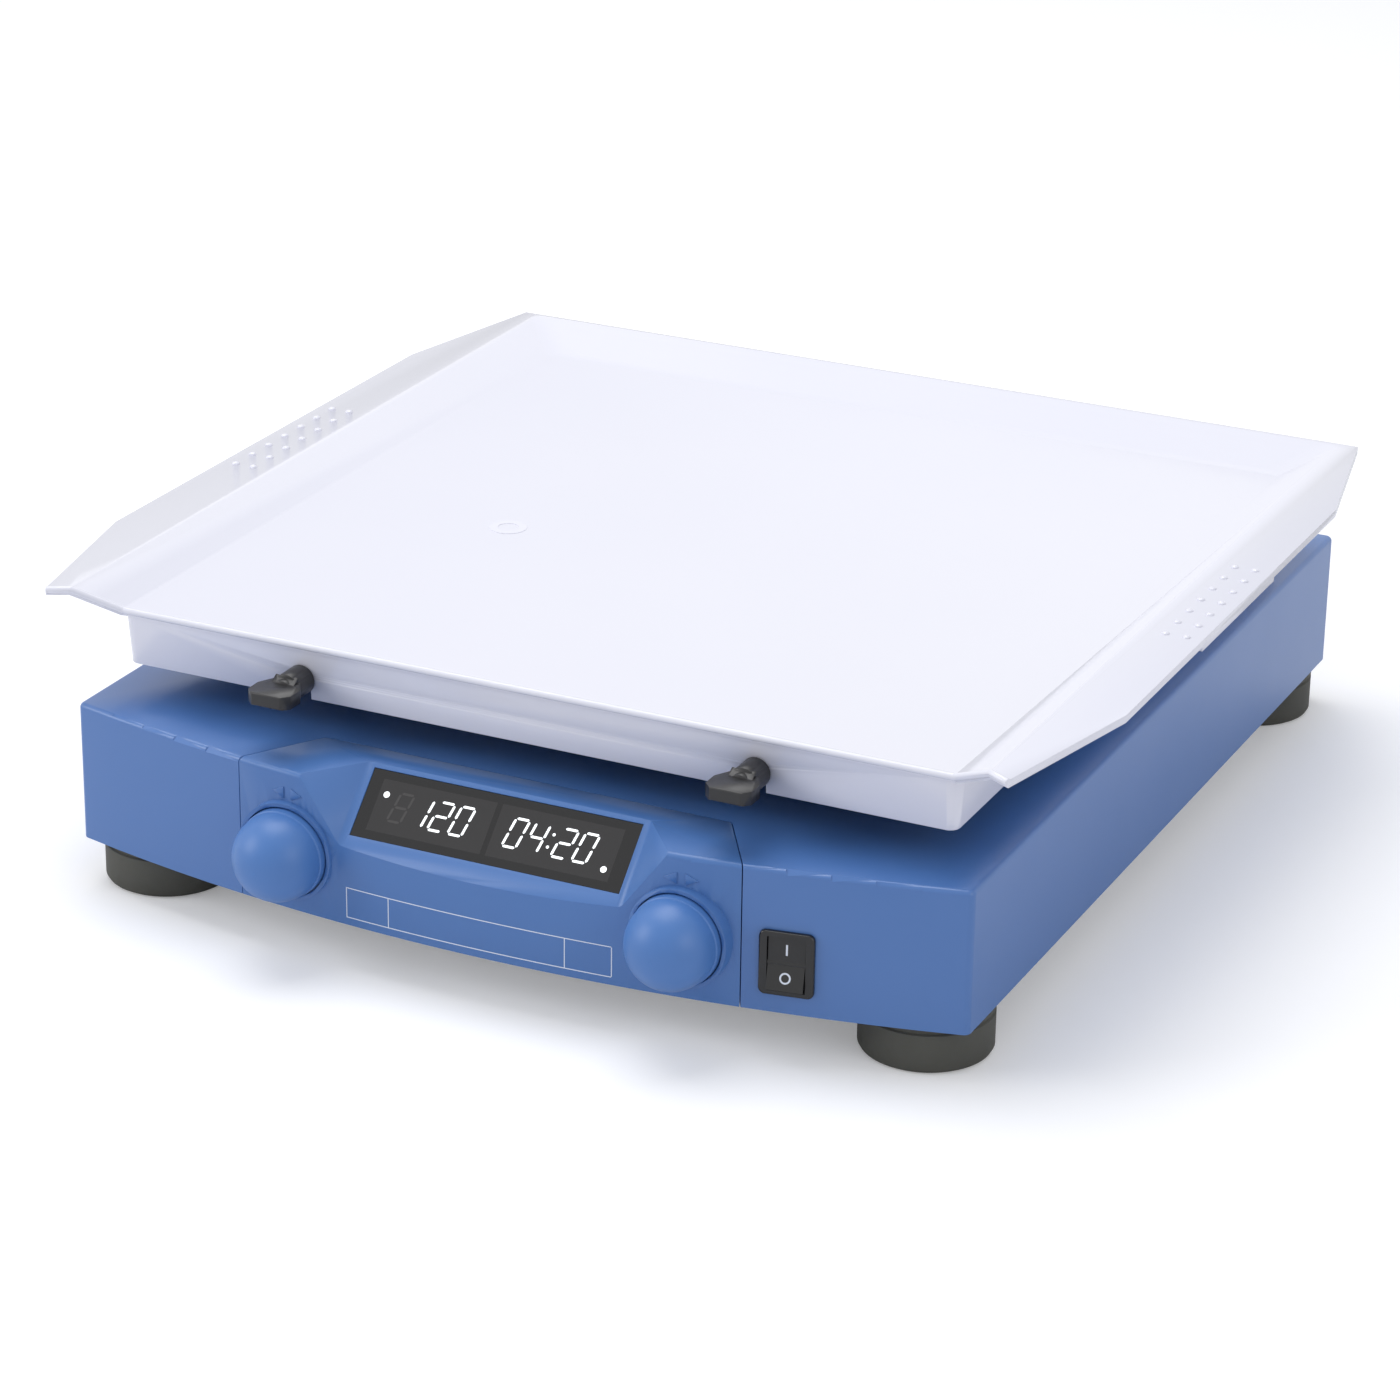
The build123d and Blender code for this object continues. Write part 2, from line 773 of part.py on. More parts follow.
# Power switch: a snap-in body with a bezel, and a rocker with its upper end pressed in
rocker_end = rocker_height / 2
rocker_gap = 0.4
pivot_radius = 1.2
with BuildPart() as power_switch:
    with BuildSketch(switch_plane):
        RectangleRounded(bezel_width, bezel_height, 2.5)
    extrude(amount=bezel_thickness)
    bezel_front = power_switch.faces().sort_by(Axis(switch_plane.origin, switch_plane.z_dir))[-1]
    fillet(bezel_front.edges(), 0.9)
    with BuildSketch(switch_plane):
        Rectangle(switch_body_width, switch_body_height)
    extrude(amount=-switch_body_depth)
    with BuildSketch(switch_plane.offset(bezel_thickness)):
        Rectangle(rocker_width + 2 * moving_gap, rocker_height + 2 * rocker_gap)
    extrude(amount=-(bezel_thickness + 9), mode=Mode.SUBTRACT)
    # Holes for the rocker's pivots, and three blade terminals
    with BuildSketch(Plane(switch_plane.origin, x_dir=(0, 0, 1), z_dir=switch_plane.x_dir)):
        Circle(pivot_radius + moving_gap)
    extrude(amount=rocker_width / 2 + 1.5, both=True, mode=Mode.SUBTRACT)
    with BuildSketch(switch_plane.offset(-switch_body_depth)):
        with GridLocations(1, 7, 1, 3):
            Rectangle(6.3, 0.8)
    extrude(amount=-8)
save(power_switch, "power_switch")

with BuildPart() as power_rocker:
    with BuildSketch(Plane.YZ):
        Polygon(
            (rocker_end, 2.4), (0, 0.9), (-rocker_end, 2.4),
            (-rocker_end - 1, -3), (-6, -6), (6, -6), (rocker_end + 1, -3), align=None,
        )
        Circle(rocker_end, mode=Mode.INTERSECT)
    extrude(amount=rocker_width / 2, both=True)
    with BuildSketch(Plane.YZ):
        Circle(pivot_radius)
    extrude(amount=rocker_width / 2 + 1.2, both=True)
with BuildPart() as rocker_placed:
    with Locations(switch_plane):
        add(power_rocker.part, rotation=(-rocker_throw / 2, 0, 0))
save(rocker_placed, "power_rocker")

# Bearing housings under the roof, with their bearings, seals and screws
drive_journal_radius = drive_journal_diameter / 2
guide_journal_radius = guide_journal_diameter / 2
drive_housing_bottom = pad_under - 2 * drive_bearing_width - bearing_spacer
guide_housing_bottom = pad_under - 2 * guide_bearing_width - bearing_spacer


def housing(bearing_radius, bearing_width, flange_radius, circle, count, start):
    """A flanged tube with two bearing seats and a shoulder between them."""
    bottom = pad_under - 2 * bearing_width - bearing_spacer
    seat = bearing_radius + seat_clearance
    shoulder = bearing_radius - 2.0
    flange_under = pad_under - flange_thickness
    blank = turned(
        (seat, bottom),
        (bearing_radius + housing_wall, bottom),
        (bearing_radius + housing_wall, flange_under),
        (flange_radius, flange_under),
        (flange_radius, pad_under),
        (seat, pad_under),
        (seat, pad_under - bearing_width),
        (shoulder, pad_under - bearing_width),
        (shoulder, bottom + bearing_width),
        (seat, bottom + bearing_width),
    )
    with BuildPart() as tube:
        add(blank)
        with BuildSketch(Plane.XY.offset(flange_under)):
            with PolarLocations(circle, count, start_angle=start):
                Circle(mount_screw_radius + screw_clearance)
        extrude(amount=flange_thickness, mode=Mode.SUBTRACT)
    return tube.part


drive_tube = housing(
    drive_bearing_radius, drive_bearing_width, drive_flange_radius,
    drive_screw_ring_radius, drive_screw_count, 45,
)
guide_tube = housing(
    guide_bearing_radius, guide_bearing_width, guide_flange_radius,
    guide_screw_ring_radius, guide_screw_count, 90,
)
with BuildPart() as drive_housing:
    with Locations(drive_centre):
        add(drive_tube)
save(drive_housing, "drive_housing")
with BuildPart() as guide_housings:
    with Locations(*guide_centres):
        add(guide_tube)
save(guide_housings, "guide_housings")

drive_race = bearing(
    drive_journal_radius + running_clearance, drive_bearing_radius, drive_bearing_width
)
with BuildPart() as drive_bearings:
    for bottom in (drive_housing_bottom, pad_under - drive_bearing_width):
        with Locations((0, crank_y, bottom)):
            add(drive_race)
save(drive_bearings, "drive_bearings")

guide_race = bearing(
    guide_journal_radius + running_clearance, guide_bearing_radius, guide_bearing_width
)
with BuildPart() as guide_bearings:
    for bottom in (guide_housing_bottom, pad_under - guide_bearing_width):
        with Locations(*[(x, y, bottom) for x, y in guide_centres]):
            add(guide_race)
save(guide_bearings, "guide_bearings")

drive_seal = ring(
    drive_journal_radius + moving_gap, drive_seal_radius, pad_under + 1, case_top + 0.5
)
guide_seal = ring(
    guide_journal_radius + moving_gap, guide_seal_radius, pad_under + 1, case_top + 0.5
)
with BuildPart() as shaft_seals:
    with Locations(drive_centre):
        add(drive_seal)
    with Locations(*guide_centres):
        add(guide_seal)
save(shaft_seals, "shaft_seals")

housing_screw = screw(mount_screw_radius, flange_thickness + mount_screw_depth - 0.5, 3.4, 3.0)
with BuildPart() as housing_screws:
    with Locations((0, crank_y, pad_under - flange_thickness)):
        with PolarLocations(drive_screw_ring_radius, drive_screw_count, start_angle=45):
            add(housing_screw)
    for x, y in guide_centres:
        with Locations((x, y, pad_under - flange_thickness)):
            with PolarLocations(guide_screw_ring_radius, guide_screw_count, start_angle=90):
                add(housing_screw)
save(housing_screws, "housing_screws")

# Motor under the roof on a slotted bracket, and its shaft and small pulley
shaft_radius = 4.0
pilot_radius = 11.0
motor_shape = turned(
    (shaft_radius + running_clearance, motor_bottom - 1.3),
    (pilot_radius, motor_bottom - 1.3),
    (pilot_radius, motor_bottom),
    (motor_radius - 3, motor_bottom),
    (motor_radius, motor_bottom + 3),
    (motor_radius, motor_top),
    (0, motor_top),
    (0, motor_top - 3),
    (shaft_radius + running_clearance, motor_top - 3),
)
with BuildPart() as motor:
    with Locations((motor_x, crank_y)):
        add(motor_shape)
save(motor, "motor")

with BuildPart() as motor_bracket:
    with BuildSketch(Plane.XY.offset(motor_top)):
        with Locations((motor_x, crank_y)):
            RectangleRounded(bracket_width, bracket_width, 6)
            with GridLocations(2 * motor_screw_offset, 2 * motor_screw_offset, 2, 2):
                SlotOverall(8, 2 * mount_screw_radius + 0.4, mode=Mode.SUBTRACT)
    extrude(amount=roof_under - motor_top)
save(motor_bracket, "motor_bracket")

motor_screw = screw(mount_screw_radius, roof_under - motor_top + 2.2, 3.8, 3.0)
with BuildPart() as motor_screws:
    with Locations((motor_x, crank_y, motor_top)):
        with GridLocations(2 * motor_screw_offset, 2 * motor_screw_offset, 2, 2):
            add(motor_screw)
save(motor_screws, "motor_screws")

with BuildPart() as motor_shaft:
    with BuildSketch(Plane.XY.offset(pulley_bottom)):
        with Locations((motor_x, crank_y)):
            Circle(shaft_radius)
    extrude(amount=motor_top - 3 - moving_gap - pulley_bottom)
save(motor_shaft, "motor_shaft")

pulley_flange = (pulley_width - belt_width - 1.0) / 2
small_pulley = turned(
    (shaft_radius + seat_clearance, pulley_bottom),
    (motor_pulley_radius + 2.2, pulley_bottom),
    (motor_pulley_radius + 2.2, pulley_bottom + pulley_flange),
    (motor_pulley_radius, pulley_bottom + pulley_flange),
    (motor_pulley_radius, pulley_top - pulley_flange),
    (motor_pulley_radius + 2.2, pulley_top - pulley_flange),
    (motor_pulley_radius + 2.2, pulley_top),
    (shaft_radius + seat_clearance, pulley_top),
)
with BuildPart() as motor_pulley:
    with Locations((motor_x, crank_y)):
        add(small_pulley)
save(motor_pulley, "motor_pulley")


def belt_loop(clearance):
    """The outline of a loop round both pulleys, held off them by a clearance."""
    with BuildSketch() as loop:
        with Locations(drive_centre):
            Circle(pulley_radius + clearance)
        with Locations((motor_x, crank_y)):
            Circle(motor_pulley_radius + clearance)
        make_hull()
    return loop.sketch


belt_outside = belt_loop(moving_gap + belt_thickness)
belt_inside = belt_loop(moving_gap)
with BuildPart() as drive_belt:
    with BuildSketch(Plane.XY.offset(belt_middle - belt_width / 2)):
        add(belt_outside)
        add(belt_inside, mode=Mode.SUBTRACT)
    extrude(amount=belt_width)
save(drive_belt, "drive_belt")

# Cranks: each turns in its housing and carries an eccentric pin above the case
web_bottom = case_top + web_gap
web_top = web_bottom + web_thickness
table_bearing_bottom = web_top + 3.5
drive_table_bearing = (drive_pin_diameter / 2, 17.5, 11.0)
guide_table_bearing = (guide_pin_diameter / 2, 13.0, 8.0)
drive_shoulder_z = drive_housing_bottom - moving_gap
drive_foot_radius = 7.0
bolt_radius = 3.0
bolt_depth = 13.0
drive_journal = turned(
    (bolt_radius + screw_clearance, pulley_bottom),
    (drive_foot_radius, pulley_bottom),
    (drive_foot_radius, drive_shoulder_z),
    (drive_journal_radius, drive_shoulder_z),
    (drive_journal_radius, web_bottom),
    (drive_web_diameter / 2 - 1, web_bottom),
    (drive_web_diameter / 2, web_bottom + 1),
    (drive_web_diameter / 2, web_top),
    (0, web_top),
    (0, pulley_bottom + bolt_depth),
    (bolt_radius + screw_clearance, pulley_bottom + bolt_depth),
)
with BuildPart() as drive_crank:
    with Locations(drive_centre):
        add(drive_journal)
    with BuildSketch(Plane.XY.offset(web_top)):
        with Locations((0, table_y)):
            Circle(drive_pin_diameter / 2)
    extrude(amount=table_bearing_bottom + drive_table_bearing[2] + 1.5 - web_top)
save(drive_crank, "drive_crank")

collar_height = 2.0
guide_collar_z = guide_housing_bottom - moving_gap
guide_journal = turned(
    (0, guide_collar_z - collar_height),
    (guide_journal_radius + 2.5, guide_collar_z - collar_height),
    (guide_journal_radius + 2.5, guide_collar_z),
    (guide_journal_radius, guide_collar_z),
    (guide_journal_radius, web_bottom),
    (guide_web_diameter / 2 - 1, web_bottom),
    (guide_web_diameter / 2, web_bottom + 1),
    (guide_web_diameter / 2, web_top),
    (0, web_top),
)
for place_name, (x, y) in guide_places.items():
    with BuildPart() as guide_crank:
        with Locations((x, crank_y + y)):
            add(guide_journal)
        with BuildSketch(Plane.XY.offset(web_top)):
            with Locations((x, table_y + y)):
                Circle(guide_pin_diameter / 2)
        extrude(amount=table_bearing_bottom + guide_table_bearing[2] + 1.5 - web_top)
    save(guide_crank, f"{place_name}_crank")

# Drive pulley, with a half-ring counterweight bolted on opposite the pin
hub_radius = 10.0
pulley_web_under = pulley_top - 5.0
pulley_rim_inside = pulley_radius - 5.0
lightening_radius = 12.0
lightening_ring_radius = 34.0
big_pulley = turned(
    (drive_foot_radius + seat_clearance, pulley_bottom),
    (hub_radius + 3, pulley_bottom),
    (hub_radius + 3, pulley_web_under),
    (pulley_rim_inside, pulley_web_under),
    (pulley_rim_inside, pulley_bottom),
    (pulley_radius + 1.5, pulley_bottom),
    (pulley_radius + 1.5, pulley_bottom + pulley_flange),
    (pulley_radius, pulley_bottom + pulley_flange),
    (pulley_radius, pulley_top - pulley_flange),
    (pulley_radius + 1.5, pulley_top - pulley_flange),
    (pulley_radius + 1.5, pulley_top),
    (hub_radius, pulley_top),
    (hub_radius, drive_shoulder_z),
    (drive_foot_radius + seat_clearance, drive_shoulder_z),
)
weight_inner = 27.0
weight_outer = 54.0
weight_height = 8.0
weight_screw_radius = (weight_inner + weight_outer) / 2
weight_screw_angles = (45, 135)
weight_screw_places = [
    (weight_screw_radius * cos(radians(turn)), crank_y + weight_screw_radius * sin(radians(turn)))
    for turn in weight_screw_angles
]
with BuildPart() as drive_pulley:
    with Locations(drive_centre):
        add(big_pulley)
    # Lightening holes on the pin side, tapped holes under the counterweight
    with BuildSketch(Plane.XY.offset(pulley_bottom)):
        with Locations(drive_centre):
            with PolarLocations(
                lightening_ring_radius, 3, start_angle=210, angular_range=120, endpoint=True
            ):
                Circle(lightening_radius)
        with Locations(*weight_screw_places):
            Circle(mount_screw_radius + screw_clearance)
    extrude(amount=pulley_width, mode=Mode.SUBTRACT)
save(drive_pulley, "drive_pulley")

with BuildPart() as counterweight:
    with BuildSketch(Plane.XY.offset(pulley_top)):
        with Locations(drive_centre):
            Circle(weight_outer)
            Circle(weight_inner, mode=Mode.SUBTRACT)
            with Locations((0, -weight_outer)):
                Rectangle(2 * weight_outer, 2 * weight_outer, mode=Mode.SUBTRACT)
        with Locations(*weight_screw_places):
            Circle(mount_screw_radius + screw_clearance, mode=Mode.SUBTRACT)
    extrude(amount=weight_height)
save(counterweight, "counterweight")

weight_screw = screw(mount_screw_radius, weight_height + 4.5, 3.5, 3.0)
with BuildPart() as counterweight_screws:
    with Locations(*[(x, y, pulley_top + weight_height) for x, y in weight_screw_places]):
        add(weight_screw, rotation=(180, 0, 0))
save(counterweight_screws, "counterweight_screws")

bolt = screw(bolt_radius, bolt_depth - 1, 9.0, 3.0)
with BuildPart() as pulley_bolt:
    with Locations((0, crank_y, pulley_bottom)):
        add(bolt)
save(pulley_bolt, "pulley_bolt")

# Table: an inverted pan with bearing bosses, ribs and threaded bosses for the clamps
skirt_set_in = tray_skirt_height * tan(radians(tray_draft))
table_width = tray_skirt_width - 2 * (skirt_set_in + tray_wall + table_clearance)
table_depth = tray_skirt_depth - 2 * (skirt_set_in + tray_wall + table_clearance)
table_bottom = table_under - table_rim_height
table_front_y = table_y - table_depth / 2
boss_bottom = table_bearing_bottom - 0.5
table_guides = [(x, table_y + y) for x, y in guide_places.values()]
clamp_places = {"left": -clamp_spacing / 2, "right": clamp_spacing / 2}
clamp_boss_radius = 6.0
clamp_boss_depth = 14.0
thread_radius = clamp_shank_diameter / 2
rib_thickness = 3.0
rib_height = 9.0
with BuildPart() as table:
    with BuildSketch(Plane.XY.offset(table_bottom)):
        with Locations((0, table_y)):
            RectangleRounded(table_width, table_depth, 6)
    extrude(amount=table_top - table_bottom)
    with BuildSketch(Plane.XY.offset(table_bottom)):
        with Locations((0, table_y)):
            RectangleRounded(table_width - 2 * table_rim_wall, table_depth - 2 * table_rim_wall, 3)
    extrude(amount=table_rim_height, mode=Mode.SUBTRACT)
    # Ribs through the bosses, from rim to rim
    with BuildSketch(Plane.XY.offset(table_under - rib_height)):
        with Locations((0, table_y)):
            for along in (-guide_spacing_y / 2, 0, guide_spacing_y / 2):
                with Locations((0, along)):
                    Rectangle(table_width - table_rim_wall, rib_thickness)
            for across in (-guide_spacing_x / 2, 0, guide_spacing_x / 2):
                with Locations((across, 0)):
                    Rectangle(rib_thickness, table_depth - table_rim_wall)
    extrude(amount=rib_height + 0.5)
    with BuildSketch(Plane.XY.offset(boss_bottom)):
        with Locations(*table_guides):
            Circle(guide_table_bearing[1] + 4)
        with Locations((0, table_y)):
            Circle(drive_table_bearing[1] + 4.5)
    extrude(amount=table_under + 0.5 - boss_bottom)
    # Bearing seats, each with a shoulder and room above the pin
    for centres, (_, outer, width) in (
        (table_guides, guide_table_bearing), ([(0, table_y)], drive_table_bearing)
    ):
        with BuildSketch(Plane.XY.offset(boss_bottom)):
            with Locations(*centres):
                Circle(outer + seat_clearance)
        extrude(amount=table_bearing_bottom + width - boss_bottom, mode=Mode.SUBTRACT)
        with BuildSketch(Plane.XY.offset(boss_bottom)):
            with Locations(*centres):
                Circle(outer - 2.5)
        extrude(amount=table_bearing_bottom + width + 4 - boss_bottom, mode=Mode.SUBTRACT)
    # Threaded bosses for the clamp screws
    for clamp_x in clamp_places.values():
        boss_plane = Plane(origin=(clamp_x, table_front_y, clamp_z), z_dir=(0, 1, 0))
        with BuildSketch(boss_plane.offset(1)):
            Circle(clamp_boss_radius)
        extrude(amount=clamp_boss_depth - 1)
        with BuildSketch(boss_plane):
            Circle(thread_radius)
        extrude(amount=clamp_boss_depth, mode=Mode.SUBTRACT)
save(table, "table")

drive_table_race = bearing(
    drive_table_bearing[0] + running_clearance, drive_table_bearing[1], drive_table_bearing[2]
)
with BuildPart() as table_drive_bearing:
    with Locations((0, table_y, table_bearing_bottom)):
        add(drive_table_race)
save(table_drive_bearing, "table_drive_bearing")
guide_table_race = bearing(
    guide_table_bearing[0] + running_clearance, guide_table_bearing[1], guide_table_bearing[2]
)
with BuildPart() as table_guide_bearings:
    with Locations(*[(x, y, table_bearing_bottom) for x, y in table_guides]):
        add(guide_table_race)
save(table_guide_bearings, "table_guide_bearings")

# Tray: a moulded basin with side wings, an open front, a skirt and slots for the clamps
tray_front = tray_skirt_depth / 2 + 1.0
floor_half = tray_skirt_width / 2 - floor_side_inset
fold_half = floor_half + tray_slope_run
wing_half = fold_half + wing_reach
wing_end_half = fold_half + wing_end_reach
wing_end = tray_skirt_depth / 2 + wing_overhang
floor_rear = tray_skirt_depth / 2 - floor_rear_inset
side_ratio = tray_slope_run / tray_rise
rear_ratio = (wing_end - tray_rim - floor_rear) / tray_rise
tray_outline = (
    (-wing_end_half, wing_end),
    (-wing_half, wing_end - wing_rear_taper),
    (-wing_half, wing_front_taper - wing_end),
    (-wing_end_half, -wing_end),
    (-floor_half, -tray_front),
    (floor_half, -tray_front),
    (wing_end_half, -wing_end),
    (wing_half, wing_front_taper - wing_end),
    (wing_half, wing_end - wing_rear_taper),
    (wing_end_half, wing_end),
)


def basin(low, high, wall):
    """The space inside the tray's sloping bands between two heights, grown by a wall."""
    with BuildPart() as space:
        for level in (low, high):
            rise = level - floor_top
            half = floor_half + rise * side_ratio + wall * sqrt(1 + side_ratio**2)
            rear = floor_rear + rise * rear_ratio + wall * sqrt(1 + rear_ratio**2)
            front = wing_end + 40
            with BuildSketch(Plane.XY.offset(level)):
                with Locations((0, table_y + (rear - front) / 2)):
                    RectangleRounded(2 * half, rear + front, 8)
        loft()
    return space.part


slot_radius = 3.5
bead_radius = 1.4
front_drop = floor_top - bead_radius * 0.6
lip_half = 41.0
lip_drop = 1.6
outer_basin = basin(floor_under, rim_top - tray_wall, tray_wall)
inner_basin = basin(floor_top, rim_top + 1, 0)
bead_high = rim_top - bead_radius * 0.6
fold_front = tray_front + (wing_end - tray_front) * tray_slope_run / (
    tray_slope_run + wing_end_reach
)
front_edge = [
    (-wing_end_half, table_y - wing_end, bead_high),
    (-fold_half, table_y - fold_front, bead_high),
    (-floor_half, table_y - tray_front, front_drop),
    (floor_half, table_y - tray_front, front_drop),
    (fold_half, table_y - fold_front, bead_high),
    (wing_end_half, table_y - wing_end, bead_high),
]

with BuildPart() as front_bead:
    with BuildLine() as bead_line:
        Polyline(*front_edge)
    with BuildSketch(Plane(origin=front_edge[0], z_dir=bead_line.line % 0)):
        Circle(bead_radius)
    sweep(path=bead_line.line, transition=Transition.ROUND)

with BuildPart() as tray:
    with BuildSketch(Plane.XY.offset(rim_top - tray_wall)):
        with Locations((0, table_y)):
            Polygon(*tray_outline, align=None)
    extrude(amount=tray_wall)
    add(outer_basin)
    with BuildSketch(Plane.XY.offset(floor_under)):
        with Locations((0, table_y)):
            Polygon(*tray_outline, align=None)
    extrude(amount=rim_top - floor_under, mode=Mode.INTERSECT)
    add(inner_basin, mode=Mode.SUBTRACT)
    # Skirt with draft, hollow up to the underside of the floor
    for grow, top, mode in ((0, floor_top, Mode.ADD), (-tray_wall, floor_under, Mode.SUBTRACT)):
        with BuildSketch(Plane.XY.offset(tray_bottom)):
            with Locations((0, table_y)):
                RectangleRounded(
                    tray_skirt_width - 2 * skirt_set_in + 2 * grow,
                    tray_skirt_depth - 2 * skirt_set_in + 2 * grow,
                    4 + grow,
                )
        extrude(amount=top - tray_bottom, taper=-tray_draft, mode=mode)
    add(front_bead.part)
    # Turned-down lips where the tray is gripped
    with BuildSketch(Plane.XY.offset(rim_top - tray_wall - lip_drop)):
        for side in (-1, 1):
            with Locations((side * (wing_half - 1.5), table_y)):
                Rectangle(3, 2 * lip_half)
    extrude(amount=lip_drop + 1)
    # Slots that drop over the clamp screws
    slot_plane = Plane(
        origin=(0, table_y - tray_front + 10, clamp_z), x_dir=(1, 0, 0), z_dir=(0, -1, 0)
    )
    with BuildSketch(slot_plane):
        for clamp_x in clamp_places.values():
            with Locations((clamp_x, 0)):
                Circle(slot_radius)
                with Locations((0, tray_bottom - clamp_z)):
                    Rectangle(2 * slot_radius, 2 * (clamp_z - tray_bottom))
    extrude(amount=12, mode=Mode.SUBTRACT)
save(tray, "tray")

# Clamp screws: a round hub in front of the skirt with a flat blade to turn it by
skirt_at_clamp = (
    table_y - tray_skirt_depth / 2 + (floor_top - clamp_z) * tan(radians(tray_draft))
)
clamp_back = skirt_at_clamp - moving_gap - 0.5
clamp_hub_radius = clamp_hub_diameter / 2
clamp_shank_length = table_front_y + clamp_boss_depth - 1 - clamp_back
blade_start = clamp_hub_length - 1
blade_end = clamp_hub_length + clamp_blade_length
blade_half = clamp_blade_width / 2
with BuildPart() as clamp:
    with BuildSketch(Plane.XZ):
        Circle(clamp_hub_radius)
    extrude(amount=clamp_hub_length)
    with BuildSketch(Plane.XZ):
        Circle(clamp_hub_radius - 1.5)
    extrude(amount=clamp_hub_length + 3)
    with BuildSketch(Plane.XY.offset(0.5 - clamp_blade_thickness / 2)):
        Polygon(
            (-clamp_hub_radius, -blade_start),
            (-blade_half, -blade_start - 6),
            (-blade_half, -blade_end + 3),
            (-blade_half + 3, -blade_end),
            (blade_half - 3, -blade_end),
            (blade_half, -blade_end + 3),
            (blade_half, -blade_start - 6),
            (clamp_hub_radius, -blade_start),
            align=None,
        )
    extrude(amount=clamp_blade_thickness)
    fillet(clamp.faces().sort_by(Axis.Y)[0].edges(), 0.8)
    # Wedges that blend the hub into the blade above and below
    with BuildSketch(Plane.YZ):
        Polygon(
            (-blade_start, clamp_hub_radius - 0.8),
            (-blade_start - 9, 0),
            (-blade_start, -clamp_hub_radius + 0.8),
            align=None,
        )
    extrude(amount=clamp_hub_radius - 1, both=True)
    with BuildSketch(Plane.XZ):
        Circle(thread_radius - seat_clearance)
    extrude(amount=-clamp_shank_length)
for side_name, clamp_x in clamp_places.items():
    with BuildPart() as clamp_placed:
        with Locations((clamp_x, clamp_back, clamp_z)):
            add(clamp.part)
    save(clamp_placed, f"{side_name}_clamp")

# Power board with its transformer, and the control board, on posts of the base plate
capacitor_radius = 8.0
capacitor_height = 25.0
relay_width = 28.0
relay_depth = 12.0
relay_height = 14.0
terminal_length = 60.0
terminal_width = 10.0
part_row = power_board_depth / 2 - 23.0
terminal_row = power_board_depth / 2 - 19.0
with BuildPart() as power_board:
    with BuildSketch(Plane.XY.offset(board_bottom)):
        with Locations((power_board_x, power_board_y)):
            Rectangle(power_board_width, power_board_depth)
        with Locations(*power_board_posts):
            Circle(1.5, mode=Mode.SUBTRACT)
    extrude(amount=board_thickness)
    with BuildSketch(Plane.XY.offset(board_top)):
        with Locations((power_board_x - power_board_width * 0.22, power_board_y + part_row)):
            with GridLocations(capacitor_radius * 2.75, 1, 2, 1):
                Circle(capacitor_radius)
    extrude(amount=capacitor_height)
    with BuildSketch(Plane.XY.offset(board_top)):
        with Locations((power_board_x + power_board_width * 0.22, power_board_y + part_row)):
            with GridLocations(1, relay_depth * 1.5, 1, 2):
                Rectangle(relay_width, relay_depth)
        with Locations((power_board_x, power_board_y - terminal_row)):
            Rectangle(terminal_length, terminal_width)
    extrude(amount=relay_height)
save(power_board, "power_board")

core_width = 50.0
core_depth = 42.0
core_height = 30.0
with BuildPart() as transformer:
    with BuildSketch(Plane.XY.offset(board_top)):
        with Locations((power_board_x, power_board_y - 6)):
            Rectangle(core_width, core_depth * 0.6)
    extrude(amount=core_height)
    with BuildSketch(Plane.XY.offset(board_top + 4)):
        with Locations((power_board_x, power_board_y - 6)):
            RectangleRounded(core_width * 0.64, core_depth, 4)
    extrude(amount=core_height - 8)
save(transformer, "transformer")

with BuildPart() as control_board:
    with BuildSketch(Plane.XY.offset(board_bottom)):
        with Locations((control_board_x, control_board_y)):
            Rectangle(control_board_width, control_board_depth)
        with Locations(*control_board_posts):
            Circle(1.5, mode=Mode.SUBTRACT)
    extrude(amount=board_thickness)
    with BuildSketch(Plane.XY.offset(board_top)):
        with Locations((control_board_x - 14, control_board_y - 8)):
            Rectangle(18, 18)
            with Locations((30, 0)):
                with GridLocations(1, 14, 1, 2):
                    Rectangle(14, 7)
    extrude(amount=2.5)
    with BuildSketch(Plane.XY.offset(board_top)):
        with Locations((control_board_x, control_board_y - 26)):
            with GridLocations(34, 1, 2, 1):
                Rectangle(22, 6)
    extrude(amount=8)
save(control_board, "control_board")

board_screw = screw(0.95, board_thickness + 6, 2.8, 2.0)
with BuildPart() as board_screws:
    with Locations(*[(x, y, board_top) for x, y in board_posts]):
        add(board_screw, rotation=(180, 0, 0))
save(board_screws, "board_screws")

# Mains inlet: a flanged socket with three blades, and a slot for the fuse drawer above
socket_drop = -4.15
drawer_lift = 9.4
with BuildPart() as mains_inlet:
    with BuildSketch(inlet_plane):
        RectangleRounded(inlet_flange_width, inlet_flange_height, 4)
        with GridLocations(inlet_screw_spacing, 1, 2, 1):
            Circle(1.6, mode=Mode.SUBTRACT)
    extrude(amount=inlet_flange_proud)
    with BuildSketch(inlet_plane):
        Rectangle(inlet_body_width, inlet_body_height)
    extrude(amount=-inlet_body_depth)
    with BuildSketch(inlet_plane.offset(inlet_flange_proud)):
        with Locations((0, socket_drop)):
            Rectangle(socket_width, socket_height)
        with Locations((0, drawer_lift)):
            Rectangle(drawer_width + 2 * moving_gap, drawer_height + 2 * moving_gap)
    extrude(amount=-(inlet_flange_proud + 16), mode=Mode.SUBTRACT)
    with BuildSketch(inlet_plane.offset(-16)):
        with Locations((0, socket_drop)):
            with Locations((-7, -2), (7, -2), (0, 2)):
                Rectangle(2, 4)
    extrude(amount=13)
    # Solder tags behind
    with BuildSketch(inlet_plane.offset(-inlet_body_depth)):
        with GridLocations(9, 1, 3, 1):
            Rectangle(4.8, 0.8)
    extrude(amount=-7)
save(mains_inlet, "mains_inlet")

